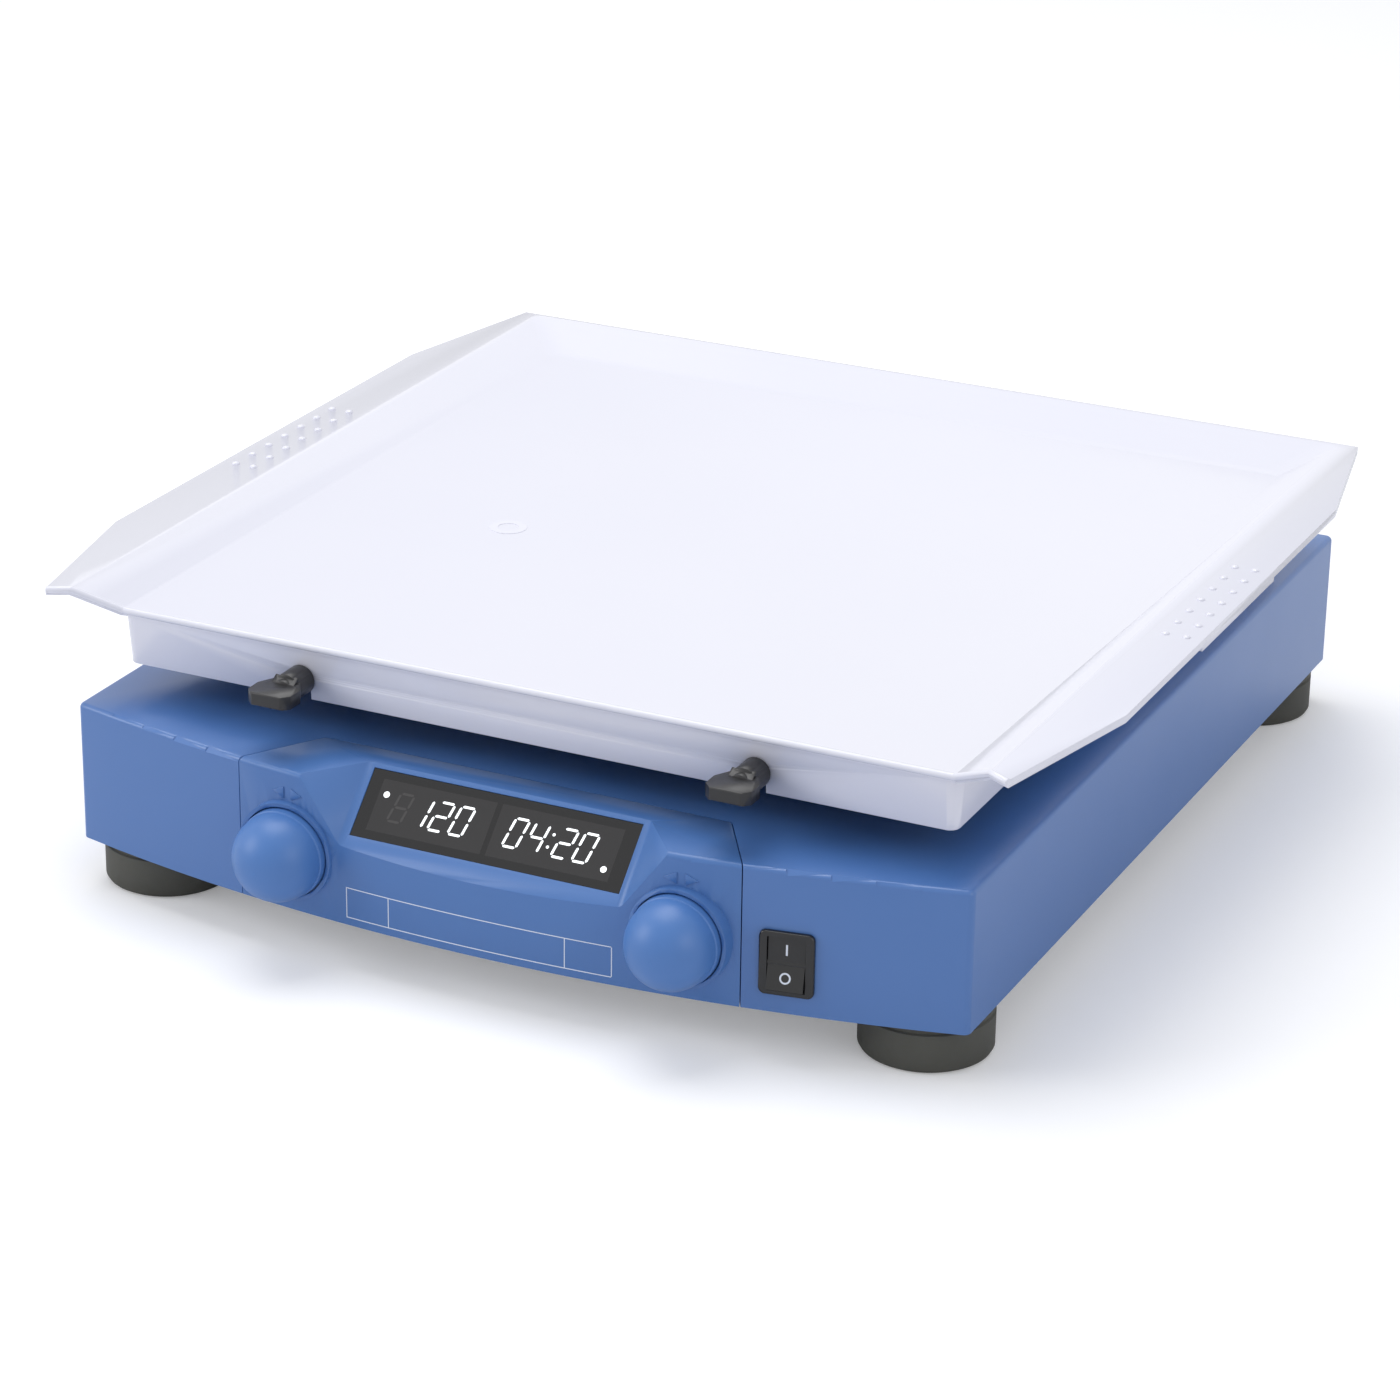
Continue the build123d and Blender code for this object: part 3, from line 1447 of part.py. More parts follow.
inlet_screw = screw(1.5, 8.0, 2.6, 1.5)
inlet_screw_plane = Plane(
    origin=(inlet_x, rear_y + inlet_flange_proud, inlet_z), x_dir=(1, 0, 0), z_dir=(0, -1, 0)
)
with BuildPart() as inlet_screws:
    with Locations(inlet_screw_plane):
        with GridLocations(inlet_screw_spacing, 1, 2, 1):
            add(inlet_screw)
save(inlet_screws, "inlet_screws")

fuse_length = 18.0
fuse_radius = 2.5
drawer_depth = 17.0
fuse_depth = -6.0
drawer_plane = Plane(
    origin=(inlet_x, rear_y, inlet_z + drawer_lift), x_dir=(-1, 0, 0), z_dir=(0, 1, 0)
)
drawer_front = inlet_flange_proud + moving_gap
with BuildPart() as fuse_drawer:
    with BuildSketch(drawer_plane.offset(drawer_front)):
        RectangleRounded(drawer_width + 2.2, drawer_height + 1.8, 1)
    extrude(amount=1.2)
    with BuildSketch(drawer_plane.offset(drawer_front)):
        Rectangle(drawer_width, drawer_height)
    extrude(amount=-drawer_depth)
    # Pocket for the fuse, open above
    with BuildSketch(drawer_plane.offset(fuse_depth + fuse_radius + 0.2)):
        with Locations((0, 0.6)):
            Rectangle(fuse_length + 0.4, drawer_height - 1.2)
    extrude(amount=-2 * fuse_radius - 0.4, mode=Mode.SUBTRACT)
save(fuse_drawer, "fuse_drawer")

with BuildPart() as fuse:
    with BuildSketch(
        Plane(
            origin=(
                inlet_x,
                rear_y + fuse_depth,
                inlet_z + drawer_lift - drawer_height / 2 + 1.2 + fuse_radius,
            ),
            z_dir=(1, 0, 0),
        )
    ):
        Circle(fuse_radius)
    extrude(amount=fuse_length / 2, both=True)
save(fuse, "fuse")

# Serial socket: a D-shaped shell with nine contacts, a flange and two hexagonal posts
shell_bevel = 2.2
serial_body_width = 19.0
serial_body_height = 10.5
with BuildPart() as serial_socket:
    with BuildSketch(serial_plane.offset(-case_wall)):
        RectangleRounded(31, 12.5, 2)
    extrude(amount=-1)
    with BuildSketch(serial_plane.offset(-case_wall)):
        half_w = serial_shell_width / 2
        half_h = serial_shell_height / 2
        Polygon(
            (-half_w, half_h), (half_w, half_h),
            (half_w - shell_bevel, -half_h), (-half_w + shell_bevel, -half_h), align=None,
        )
    extrude(amount=case_wall + serial_proud)
    # Contacts
    with BuildSketch(serial_plane.offset(serial_proud)):
        with Locations((0, 1.4)):
            with GridLocations(2.7, 1, 5, 1):
                Rectangle(0.9, 0.9)
        with Locations((0, -1.4)):
            with GridLocations(2.7, 1, 4, 1):
                Rectangle(0.9, 0.9)
    extrude(amount=-5, mode=Mode.SUBTRACT)
    with BuildSketch(serial_plane.offset(-case_wall - 1)):
        Rectangle(serial_body_width, serial_body_height)
    extrude(amount=-8)
    with BuildSketch(serial_plane.offset(-case_wall)):
        with GridLocations(25, 1, 2, 1):
            RegularPolygon(2.7, 6)
    extrude(amount=case_wall + serial_proud)
    # Foot on the control board
    with BuildSketch(Plane.XY.offset(board_top)):
        with Locations((serial_x, rear_y - case_wall - 6.5)):
            Rectangle(18, 5)
    extrude(amount=serial_z - board_top)
save(serial_socket, "serial_socket")
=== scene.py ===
# %% [markdown]
# # Dressing an orbital shaker
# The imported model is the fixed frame. Every solid of it keeps its place and its mesh, and this
# script gives it edges, shading and a finish, then adds the small visible things that sit on it.
# All lengths are in metres, in the frame of the solids: +Z is up and the front faces -Y.

# %% Load the frame
import math

import bmesh
import bpy
from mathutils import Matrix, Vector


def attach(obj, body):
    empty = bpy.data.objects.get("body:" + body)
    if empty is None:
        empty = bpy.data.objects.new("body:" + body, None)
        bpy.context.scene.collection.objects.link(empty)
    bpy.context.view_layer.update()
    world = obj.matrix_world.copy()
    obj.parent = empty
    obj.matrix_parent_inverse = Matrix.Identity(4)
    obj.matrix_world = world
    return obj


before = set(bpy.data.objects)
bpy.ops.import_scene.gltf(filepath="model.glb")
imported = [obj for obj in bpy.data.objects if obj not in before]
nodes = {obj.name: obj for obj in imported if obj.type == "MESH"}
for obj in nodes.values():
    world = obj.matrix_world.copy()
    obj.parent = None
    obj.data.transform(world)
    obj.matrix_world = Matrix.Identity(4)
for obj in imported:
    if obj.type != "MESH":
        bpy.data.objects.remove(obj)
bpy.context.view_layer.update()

MM = 0.001
scene = bpy.context.scene

# %% [markdown]
# ## The camera
# The photograph was taken with a fairly long lens, from the front and a little to the right,
# looking down. The camera stands where a fit of the case's edges put it, with a slight roll.

# %% Camera
CAMERA_PLACE = Vector((0.68685, -1.46398, 0.72062))
CAMERA_AZIMUTH = math.radians(25.3733)
CAMERA_ELEVATION = math.radians(22.6773)
CAMERA_ROLL = math.radians(0.8481)
FOCAL_IN_FRAMES = 4354.323 / 1400

camera_data = bpy.data.cameras.new("camera")
camera_data.sensor_width = 36.0
camera_data.sensor_height = 36.0
camera_data.lens = FOCAL_IN_FRAMES * camera_data.sensor_width
camera_data.clip_start, camera_data.clip_end = 0.05, 60.0
camera = bpy.data.objects.new("camera", camera_data)
scene.collection.objects.link(camera)
camera.matrix_world = (
    Matrix.Translation(CAMERA_PLACE)
    @ Matrix.Rotation(CAMERA_AZIMUTH, 4, "Z")
    @ Matrix.Rotation(math.radians(90) - CAMERA_ELEVATION, 4, "X")
    @ Matrix.Rotation(CAMERA_ROLL, 4, "Z")
)
scene.camera = camera
print("camera lens:", round(camera_data.lens, 2), "mm")

# %% [markdown]
# ## Places to build on
# The case front is bowed, so whatever is printed or raised on it follows an arc. The display
# lies in a plane tilted by 45 degrees. A print could also be projected onto the faces, but two
# small helpers that give points on them keep every place exact and easy to read.

# %% Helpers for places
CASE_HALF = 0.185
FRONT_BOW = 0.024
FRONT_RADIUS = (CASE_HALF**2 + FRONT_BOW**2) / (2 * FRONT_BOW)
FRONT_APEX = -0.2042695
DISPLAY_SETBACK = 0.0155
DISPLAY_Z = 0.0638
DISPLAY_TILT = math.radians(45)
WINDOW_SINK = 0.0003
DISPLAY = Matrix.Translation((0, FRONT_APEX + DISPLAY_SETBACK, DISPLAY_Z)) @ Matrix.Rotation(
    DISPLAY_TILT, 4, "X"
)
DIAL_X = 0.081
DIAL_Z = 0.0435


def front_point(x, z, out=0.0):
    """A point on the bowed front, moved out of it by a distance."""
    reach = FRONT_RADIUS + out
    return Vector((x, FRONT_APEX + FRONT_RADIUS - math.sqrt(reach**2 - x**2), z))


def display_point(x, y, out):
    """A point on the front of the display window."""
    return DISPLAY @ Vector((x, y, out - WINDOW_SINK))


print("front at the dials:", [round(v, 4) for v in front_point(DIAL_X, DIAL_Z)])

# %% [markdown]
# ## Meshes
# Small pieces are built as closed bmesh shapes: a flat outline given a thickness, or a flat ring.
# Ready-made primitives would need moving and turning afterwards. Here the place goes into the
# mesh itself, so each object sits unturned at the origin.

# %% Helpers for meshes
def to_object(mesh_in_progress, name, material):
    """Turn a finished bmesh into an object with outward normals and a material."""
    bmesh.ops.recalc_face_normals(mesh_in_progress, faces=mesh_in_progress.faces)
    mesh = bpy.data.meshes.new(name)
    mesh_in_progress.to_mesh(mesh)
    mesh_in_progress.free()
    mesh.materials.append(material)
    made = bpy.data.objects.new(name, mesh)
    scene.collection.objects.link(made)
    return made


def add_slab(target, outline, place, thickness):
    """Add a flat closed outline, placed by a function of x, y and height, with a thickness."""
    low = [target.verts.new(place(x, y, 0.0)) for x, y in outline]
    high = [target.verts.new(place(x, y, thickness)) for x, y in outline]
    target.faces.new(reversed(low))
    target.faces.new(high)
    for i in range(len(outline)):
        j = (i + 1) % len(outline)
        target.faces.new((low[i], low[j], high[j], high[i]))


def circle_outline(x, y, radius, count):
    """Points round a circle."""
    turns = [2 * math.pi * i / count for i in range(count)]
    return [(x + radius * math.cos(turn), y + radius * math.sin(turn)) for turn in turns]


def add_ring(target, x, y, inner, outer, place, thickness, count):
    """Add a flat ring with a thickness."""
    loops = []
    for radius in (inner, outer):
        for height in (0.0, thickness):
            points = circle_outline(x, y, radius, count)
            loops.append([target.verts.new(place(px, py, height)) for px, py in points])
    inner_low, inner_high, outer_low, outer_high = loops
    for a, b in (
        (inner_low, outer_low), (outer_low, outer_high),
        (outer_high, inner_high), (inner_high, inner_low),
    ):
        for i in range(count):
            j = (i + 1) % count
            target.faces.new((a[i], a[j], b[j], b[i]))


# %% [markdown]
# ## Finishes
# Each finish is a Principled shader with its variation from noise in Object coordinates: a slow
# noise shifts the colour and the roughness a little, and a fine noise gives the bump, such as
# the orange peel of sprayed paint or the grain of moulded plastic. Pictures could carry this too,
# but noise needs no unwrapping and looks right from any distance.

# %% Finish helper
COAT_ROUGHNESS = 0.12
BUMP_HEIGHT = 0.2 * MM


def finish(name, colour, second, patch=30.0, rough=(0.3, 0.4), grain=900.0, bump=0.05,
           metal=0.0, coat=0.0, stretch=(1, 1, 1), glow=0.0):
    """A procedural finish: two close colours in patches, and a fine grained bump."""
    material = bpy.data.materials.new(name)
    material.use_nodes = True
    tree = material.node_tree
    shader = tree.nodes["Principled BSDF"]
    shader.inputs["Metallic"].default_value = metal
    shader.inputs["Coat Weight"].default_value = coat
    shader.inputs["Coat Roughness"].default_value = COAT_ROUGHNESS
    place = tree.nodes.new("ShaderNodeTexCoord")
    mapping = tree.nodes.new("ShaderNodeMapping")
    mapping.inputs["Scale"].default_value = stretch
    tree.links.new(place.outputs["Object"], mapping.inputs["Vector"])
    patches = tree.nodes.new("ShaderNodeTexNoise")
    patches.inputs["Scale"].default_value = patch
    patches.inputs["Detail"].default_value = 3.0
    tree.links.new(mapping.outputs["Vector"], patches.inputs["Vector"])
    blend = tree.nodes.new("ShaderNodeMix")
    blend.data_type = "RGBA"
    blend.inputs["A"].default_value = (*colour, 1)
    blend.inputs["B"].default_value = (*second, 1)
    tree.links.new(patches.outputs["Fac"], blend.inputs["Factor"])
    tree.links.new(blend.outputs["Result"], shader.inputs["Base Color"])
    gloss = tree.nodes.new("ShaderNodeMapRange")
    gloss.inputs["To Min"].default_value, gloss.inputs["To Max"].default_value = rough
    tree.links.new(patches.outputs["Fac"], gloss.inputs["Value"])
    tree.links.new(gloss.outputs["Result"], shader.inputs["Roughness"])
    fine = tree.nodes.new("ShaderNodeTexNoise")
    fine.inputs["Scale"].default_value = grain
    fine.inputs["Detail"].default_value = 2.0
    tree.links.new(mapping.outputs["Vector"], fine.inputs["Vector"])
    relief = tree.nodes.new("ShaderNodeBump")
    relief.inputs["Strength"].default_value = bump
    relief.inputs["Distance"].default_value = BUMP_HEIGHT
    tree.links.new(fine.outputs["Fac"], relief.inputs["Height"])
    tree.links.new(relief.outputs["Normal"], shader.inputs["Normal"])
    if glow:
        shader.inputs["Emission Color"].default_value = (*colour, 1)
        shader.inputs["Emission Strength"].default_value = glow
    return material


# %% [markdown]
# ## The finishes of this object
# The case is painted metal with a thin clear coat. The panel and the dials are moulded in a blue
# close to it, the tray in a pale glossy plastic, the clamps and the switch in black. The hidden
# pieces have steel, aluminium, enamel, lacquer and rubber. Each is one call of the same helper.

# %% The finishes of this object
case_paint = finish(
    "case_paint", (0.075, 0.185, 0.47), (0.068, 0.172, 0.445), patch=14, rough=(0.30, 0.38),
    grain=1400, bump=0.06, coat=0.25,
)
panel_plastic = finish(
    "panel_plastic", (0.070, 0.180, 0.455), (0.064, 0.168, 0.435), patch=22, rough=(0.34, 0.42),
    grain=2200, bump=0.05, coat=0.1,
)
dial_plastic = finish(
    "dial_plastic", (0.078, 0.20, 0.50), (0.070, 0.185, 0.475), patch=40, rough=(0.36, 0.44),
    grain=2600, bump=0.05,
)
tray_plastic = finish(
    "tray_plastic", (0.80, 0.80, 0.88), (0.77, 0.775, 0.865), patch=9, rough=(0.16, 0.24),
    grain=500, bump=0.02, coat=0.3,
)
display_acrylic = finish(
    "display_acrylic", (0.006, 0.006, 0.007), (0.010, 0.010, 0.011), patch=20, rough=(0.08, 0.12),
    grain=600, bump=0.005,
)
display_field = finish(
    "display_field", (0.022, 0.021, 0.022), (0.026, 0.025, 0.026), patch=60, rough=(0.12, 0.18),
    grain=900, bump=0.01,
)
ghost_segment = finish(
    "ghost_segment", (0.045, 0.043, 0.043), (0.050, 0.048, 0.048), patch=80, rough=(0.2, 0.3),
    grain=900, bump=0.01,
)
lit_segment = finish(
    "lit_segment", (0.90, 0.93, 0.95), (0.86, 0.90, 0.93), patch=90, rough=(0.3, 0.4),
    grain=900, bump=0.01, glow=0.9,
)
white_print = finish(
    "white_print", (0.74, 0.79, 0.88), (0.70, 0.75, 0.85), patch=120, rough=(0.4, 0.5),
    grain=2400, bump=0.04,
)
black_plastic = finish(
    "black_plastic", (0.016, 0.016, 0.018), (0.022, 0.022, 0.024), patch=60, rough=(0.30, 0.42),
    grain=1800, bump=0.10,
)
gloss_black = finish(
    "gloss_black", (0.012, 0.012, 0.013), (0.018, 0.018, 0.019), patch=50, rough=(0.14, 0.22),
    grain=1200, bump=0.03,
)
foot_rubber = finish(
    "foot_rubber", (0.085, 0.085, 0.072), (0.065, 0.065, 0.056), patch=70, rough=(0.62, 0.78),
    grain=1600, bump=0.25,
)
black_rubber = finish(
    "black_rubber", (0.022, 0.022, 0.022), (0.032, 0.032, 0.032), patch=80, rough=(0.6, 0.8),
    grain=1500, bump=0.25,
)
bright_steel = finish(
    "bright_steel", (0.58, 0.59, 0.61), (0.50, 0.51, 0.53), patch=60, rough=(0.22, 0.34),
    grain=700, bump=0.08, metal=1.0, stretch=(1, 1, 12),
)
cast_aluminium = finish(
    "cast_aluminium", (0.70, 0.71, 0.73), (0.62, 0.63, 0.65), patch=35, rough=(0.38, 0.52),
    grain=900, bump=0.18, metal=0.9,
)
motor_enamel = finish(
    "motor_enamel", (0.05, 0.05, 0.055), (0.07, 0.07, 0.075), patch=40, rough=(0.4, 0.5),
    grain=900, bump=0.12, metal=0.2,
)
core_steel = finish(
    "core_steel", (0.20, 0.20, 0.21), (0.13, 0.13, 0.14), patch=25, rough=(0.45, 0.6),
    grain=300, bump=0.5, metal=0.8, stretch=(1, 1, 40),
)
board_lacquer = finish(
    "board_lacquer", (0.015, 0.13, 0.05), (0.02, 0.17, 0.07), patch=260, rough=(0.25, 0.35),
    grain=1500, bump=0.2,
)
fuse_glass = finish(
    "fuse_glass", (0.75, 0.80, 0.82), (0.70, 0.76, 0.78), patch=60, rough=(0.05, 0.1),
    grain=900, bump=0.01,
)
print("finishes:", len(bpy.data.materials))

# %% [markdown]
# ## Soft edges for the solids
# The solids come as loose triangles with hard edges. A real moulding or casting has small
# rounded edges that catch the light. Rounding them in the solids would make heavy files, so each
# node gets a Weld here, and the moulded ones that show also get a Bevel. A short Geometry Nodes
# tree then shades every edge smooth that is flatter than a limit.

# %% Shading tree
SMOOTH_LIMIT = math.radians(32)


def shading_tree():
    """A tree that welds a mesh and shades it smooth below an edge angle."""
    tree = bpy.data.node_groups.new("smooth_below_angle", "GeometryNodeTree")
    tree.interface.new_socket("Geometry", in_out="INPUT", socket_type="NodeSocketGeometry")
    limit = tree.interface.new_socket("Angle", in_out="INPUT", socket_type="NodeSocketFloat")
    limit.default_value = SMOOTH_LIMIT
    tree.interface.new_socket("Geometry", in_out="OUTPUT", socket_type="NodeSocketGeometry")
    start = tree.nodes.new("NodeGroupInput")
    end = tree.nodes.new("NodeGroupOutput")
    faces = tree.nodes.new("GeometryNodeSetShadeSmooth")
    edges = tree.nodes.new("GeometryNodeSetShadeSmooth")
    edges.domain = "EDGE"
    angle = tree.nodes.new("GeometryNodeInputMeshEdgeAngle")
    compare = tree.nodes.new("FunctionNodeCompare")
    compare.operation = "LESS_THAN"
    tree.links.new(start.outputs["Geometry"], faces.inputs["Geometry"])
    tree.links.new(faces.outputs["Geometry"], edges.inputs["Geometry"])
    tree.links.new(angle.outputs["Unsigned Angle"], compare.inputs["A"])
    tree.links.new(start.outputs["Angle"], compare.inputs["B"])
    tree.links.new(compare.outputs["Result"], edges.inputs["Shade Smooth"])
    tree.links.new(edges.outputs["Geometry"], end.inputs["Geometry"])
    return tree


SMOOTH_TREE = shading_tree()
print("shading tree:", len(SMOOTH_TREE.nodes), "nodes")

# %% Rounding
WELD_REACH = 2e-6
FLAT_LIMIT = math.radians(0.4)
BEVEL_LIMIT = math.radians(28)
BEVEL_SEGMENTS = 2


def soften(piece, bevel):
    """Weld a solid's triangles, round its edges and shade it."""
    weld = piece.modifiers.new("weld", "WELD")
    weld.merge_threshold = WELD_REACH
    if bevel:
        flat = piece.modifiers.new("flat_faces", "DECIMATE")
        flat.decimate_type = "DISSOLVE"
        flat.angle_limit = FLAT_LIMIT
        round_off = piece.modifiers.new("round_off", "BEVEL")
        round_off.width = bevel
        round_off.segments = BEVEL_SEGMENTS
        round_off.limit_method = "ANGLE"
        round_off.angle_limit = BEVEL_LIMIT
        round_off.use_clamp_overlap = True
        round_off.harden_normals = True
    shade = piece.modifiers.new("shade", "NODES")
    shade.node_group = SMOOTH_TREE


# %% [markdown]
# ## A finish for every node
# Faces of one node could carry different finishes, but here every node is one kind of material
# or hidden, so one finish each is enough. A table names it. The nodes that it leaves out are the
# rubber feet, and screws, shafts, bearings and sockets of bright steel.

# %% Finish and rounding of each node
NODE_FINISH = {
    "case_cover": case_paint, "control_panel": panel_plastic, "tray": tray_plastic,
    "display_window": display_acrylic, "power_switch": gloss_black, "power_rocker": gloss_black,
    "mains_inlet": black_plastic, "fuse_drawer": black_plastic, "motor": motor_enamel,
    "transformer": core_steel, "fuse": fuse_glass, "drive_belt": black_rubber,
    "shaft_seals": black_rubber, "left_clamp": black_plastic, "right_clamp": black_plastic,
    "left_encoder": black_plastic, "right_encoder": black_plastic,
    "left_detent_wheel": black_plastic, "right_detent_wheel": black_plastic,
    "left_knob": dial_plastic, "right_knob": dial_plastic,
    "power_board": board_lacquer, "control_board": board_lacquer, "display_board": board_lacquer,
    "base_plate": cast_aluminium, "table": cast_aluminium, "drive_housing": cast_aluminium,
    "guide_housings": cast_aluminium, "drive_pulley": cast_aluminium,
    "motor_pulley": cast_aluminium, "motor_bracket": cast_aluminium,
}
NODE_BEVEL = {"tray": 0.8 * MM, "left_clamp": 0.35 * MM, "right_clamp": 0.35 * MM,
              "control_panel": 0.4 * MM, "mains_inlet": 0.3 * MM, "fuse_drawer": 0.25 * MM}
for name, node in nodes.items():
    node.data.materials.clear()
    usual = foot_rubber if name.endswith("_foot") else bright_steel
    node.data.materials.append(NODE_FINISH.get(name, usual))
    soften(node, NODE_BEVEL.get(name, 0.0))
print("nodes with a named finish:", len(NODE_FINISH))

# %% [markdown]
# ## Grip dots on the wings
# Each side wing has two rows of small raised dots where the tray is lifted. An Array modifier
# could repeat them, but one small Geometry Nodes tree makes a whole field from named sizes: a
# grid of points with a flattened dome on each.

# %% Helpers for trees
def run_tree(host, tree, values):
    """Run a tree on a host object, with named inputs, and keep the result as a plain mesh."""
    run = host.modifiers.new("run", "NODES")
    run.node_group = tree
    for item in tree.interface.items_tree:
        if item.item_type == "SOCKET" and item.in_out == "INPUT" and item.name in values:
            run[item.identifier] = values[item.name]
    bpy.context.view_layer.update()
    evaluated = host.evaluated_get(bpy.context.evaluated_depsgraph_get())
    mesh = bpy.data.meshes.new_from_object(evaluated)
    host.modifiers.remove(run)
    host.data = mesh
    return host


def host_object(name, points=(), attributes=None):
    """An object whose vertices are points for a tree to build on."""
    mesh = bpy.data.meshes.new(name)
    mesh.from_pydata([tuple(p) for p in points], [], [])
    for key, numbers in (attributes or {}).items():
        layer = mesh.attributes.new(key, "FLOAT", "POINT")
        layer.data.foreach_set("value", numbers)
    made = bpy.data.objects.new(name, mesh)
    scene.collection.objects.link(made)
    return made


# %% Tree for the grip dots
BALL_SEGMENTS = 18
BALL_RINGS = 10


def dot_tree():
    """A field of flattened domes on a grid of points."""
    tree = bpy.data.node_groups.new("grip_dots", "GeometryNodeTree")
    for label, kind, value in (
        ("Row Gap", "NodeSocketFloat", 8.3 * MM), ("Pitch", "NodeSocketFloat", 13.0 * MM),
        ("Rows", "NodeSocketInt", 2), ("Dots", "NodeSocketInt", 7),
        ("Radius", "NodeSocketFloat", 1.6 * MM), ("Height", "NodeSocketFloat", 0.9 * MM),
        ("Centre", "NodeSocketVector", (0, 0, 0)), ("Finish", "NodeSocketMaterial", None),
    ):
        socket = tree.interface.new_socket(label, in_out="INPUT", socket_type=kind)
        if value is not None:
            socket.default_value = value
    tree.interface.new_socket("Geometry", in_out="OUTPUT", socket_type="NodeSocketGeometry")
    start = tree.nodes.new("NodeGroupInput")
    end = tree.nodes.new("NodeGroupOutput")
    length = tree.nodes.new("ShaderNodeMath")
    length.operation = "MULTIPLY"
    spans = tree.nodes.new("ShaderNodeMath")
    spans.operation = "SUBTRACT"
    spans.inputs[1].default_value = 1.0
    tree.links.new(start.outputs["Dots"], spans.inputs[0])
    tree.links.new(spans.outputs[0], length.inputs[0])
    tree.links.new(start.outputs["Pitch"], length.inputs[1])
    grid = tree.nodes.new("GeometryNodeMeshGrid")
    tree.links.new(start.outputs["Row Gap"], grid.inputs["Size X"])
    tree.links.new(length.outputs[0], grid.inputs["Size Y"])
    tree.links.new(start.outputs["Rows"], grid.inputs["Vertices X"])
    tree.links.new(start.outputs["Dots"], grid.inputs["Vertices Y"])
    ball = tree.nodes.new("GeometryNodeMeshUVSphere")
    ball.inputs["Segments"].default_value = BALL_SEGMENTS
    ball.inputs["Rings"].default_value = BALL_RINGS
    ball.inputs["Radius"].default_value = 1.0
    size = tree.nodes.new("ShaderNodeCombineXYZ")
    for axis, socket in (("X", "Radius"), ("Y", "Radius"), ("Z", "Height")):
        tree.links.new(start.outputs[socket], size.inputs[axis])
    place = tree.nodes.new("GeometryNodeInstanceOnPoints")
    tree.links.new(grid.outputs["Mesh"], place.inputs["Points"])
    tree.links.new(ball.outputs["Mesh"], place.inputs["Instance"])
    tree.links.new(size.outputs[0], place.inputs["Scale"])
    move = tree.nodes.new("GeometryNodeTransform")
    tree.links.new(place.outputs["Instances"], move.inputs["Geometry"])
    tree.links.new(start.outputs["Centre"], move.inputs["Translation"])
    real = tree.nodes.new("GeometryNodeRealizeInstances")
    tree.links.new(move.outputs["Geometry"], real.inputs["Geometry"])
    smooth = tree.nodes.new("GeometryNodeSetShadeSmooth")
    tree.links.new(real.outputs["Geometry"], smooth.inputs["Geometry"])
    coat = tree.nodes.new("GeometryNodeSetMaterial")
    tree.links.new(smooth.outputs["Geometry"], coat.inputs["Geometry"])
    tree.links.new(start.outputs["Finish"], coat.inputs["Material"])
    tree.links.new(coat.outputs["Geometry"], end.inputs["Geometry"])
    return tree


DOTS = dot_tree()

# %% Grip dots
RIM_TOP = 0.1205
GRIP_X = 201.6 * MM
GRIP_Y = 10.8 * MM
for side, sign in (("left", -1), ("right", 1)):
    field = run_tree(
        host_object(f"{side}_grip_dots"), DOTS,
        {"Centre": (sign * GRIP_X, GRIP_Y, RIM_TOP), "Finish": tray_plastic},
    )
    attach(field, "platform")
    print(field.name, "faces:", len(field.data.polygons))

# %% [markdown]
# ## Marks on the tray floor
# A faint moulded ring shows in the floor, as an ejector or gate mark does. Bump in the finish
# would not be part of the mesh, so it is a low ring of its own.

# %% Floor ring
RING_X, RING_Y = -83 * MM, -22 * MM
RING_INNER, RING_OUTER = 4.2 * MM, 7.6 * MM
RING_FOOT = 0.1119
RING_HEIGHT = 0.28 * MM


def on_tray_floor(x, y, height):
    """A point above the tray's floor."""
    return Vector((x, y, RING_FOOT + height))


work = bmesh.new()
add_ring(work, RING_X, RING_Y, RING_INNER, RING_OUTER, on_tray_floor, RING_HEIGHT, 48)
floor_ring = to_object(work, "floor_ring", tray_plastic)
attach(floor_ring, "platform")
print(floor_ring.name, "faces:", len(floor_ring.data.polygons))

# %% [markdown]
# ## The display
# The dark window holds two number fields, one for the speed and one for the time. A picture on
# the window could show them, but thin slabs just above it stay sharp in close views.

# %% Number fields
FIELDS = {"left_field": (-26.4 * MM, 23.8 * MM), "right_field": (24.6 * MM, 25.0 * MM)}
FIELD_HALF_HEIGHT = 10.4 * MM
FIELD_THICKNESS = 0.02 * MM
for name, (centre, half) in FIELDS.items():
    work = bmesh.new()
    corners = [
        (centre - half, -FIELD_HALF_HEIGHT), (centre + half, -FIELD_HALF_HEIGHT),
        (centre + half, FIELD_HALF_HEIGHT), (centre - half, FIELD_HALF_HEIGHT),
    ]
    add_slab(work, corners, display_point, FIELD_THICKNESS)
    field = to_object(work, name, display_field)
    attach(field, "base")
print("number fields:", len(FIELDS))

# %% [markdown]
# ## The numerals
# Each numeral is made of seven slanted bars. A font could draw them, but bars repeat, so a tree
# puts a chamfered bar on each point, turned by an attribute. The first place of the left field
# is unlit, and its bars show faintly.

# %% Shape of a numeral
SEGMENTS = {
    "a": (0, 1, 0), "g": (0, 0, 0), "d": (0, -1, 0),
    "b": (1, 0.5, 1), "c": (1, -0.5, 1), "e": (-1, -0.5, 1), "f": (-1, 0.5, 1),
}
LIT = {"0": "abcdef", "1": "bc", "2": "abged", "4": "fgbc", "8": "abcdefg"}
NUMERAL_WIDTH = 5.6 * MM
NUMERAL_HEIGHT = 11.4 * MM
SLANT = math.radians(10)

# %% Tree for the bars
CHAMFER_SHARE = 0.45
JOIN_REACH = 0.002 * MM


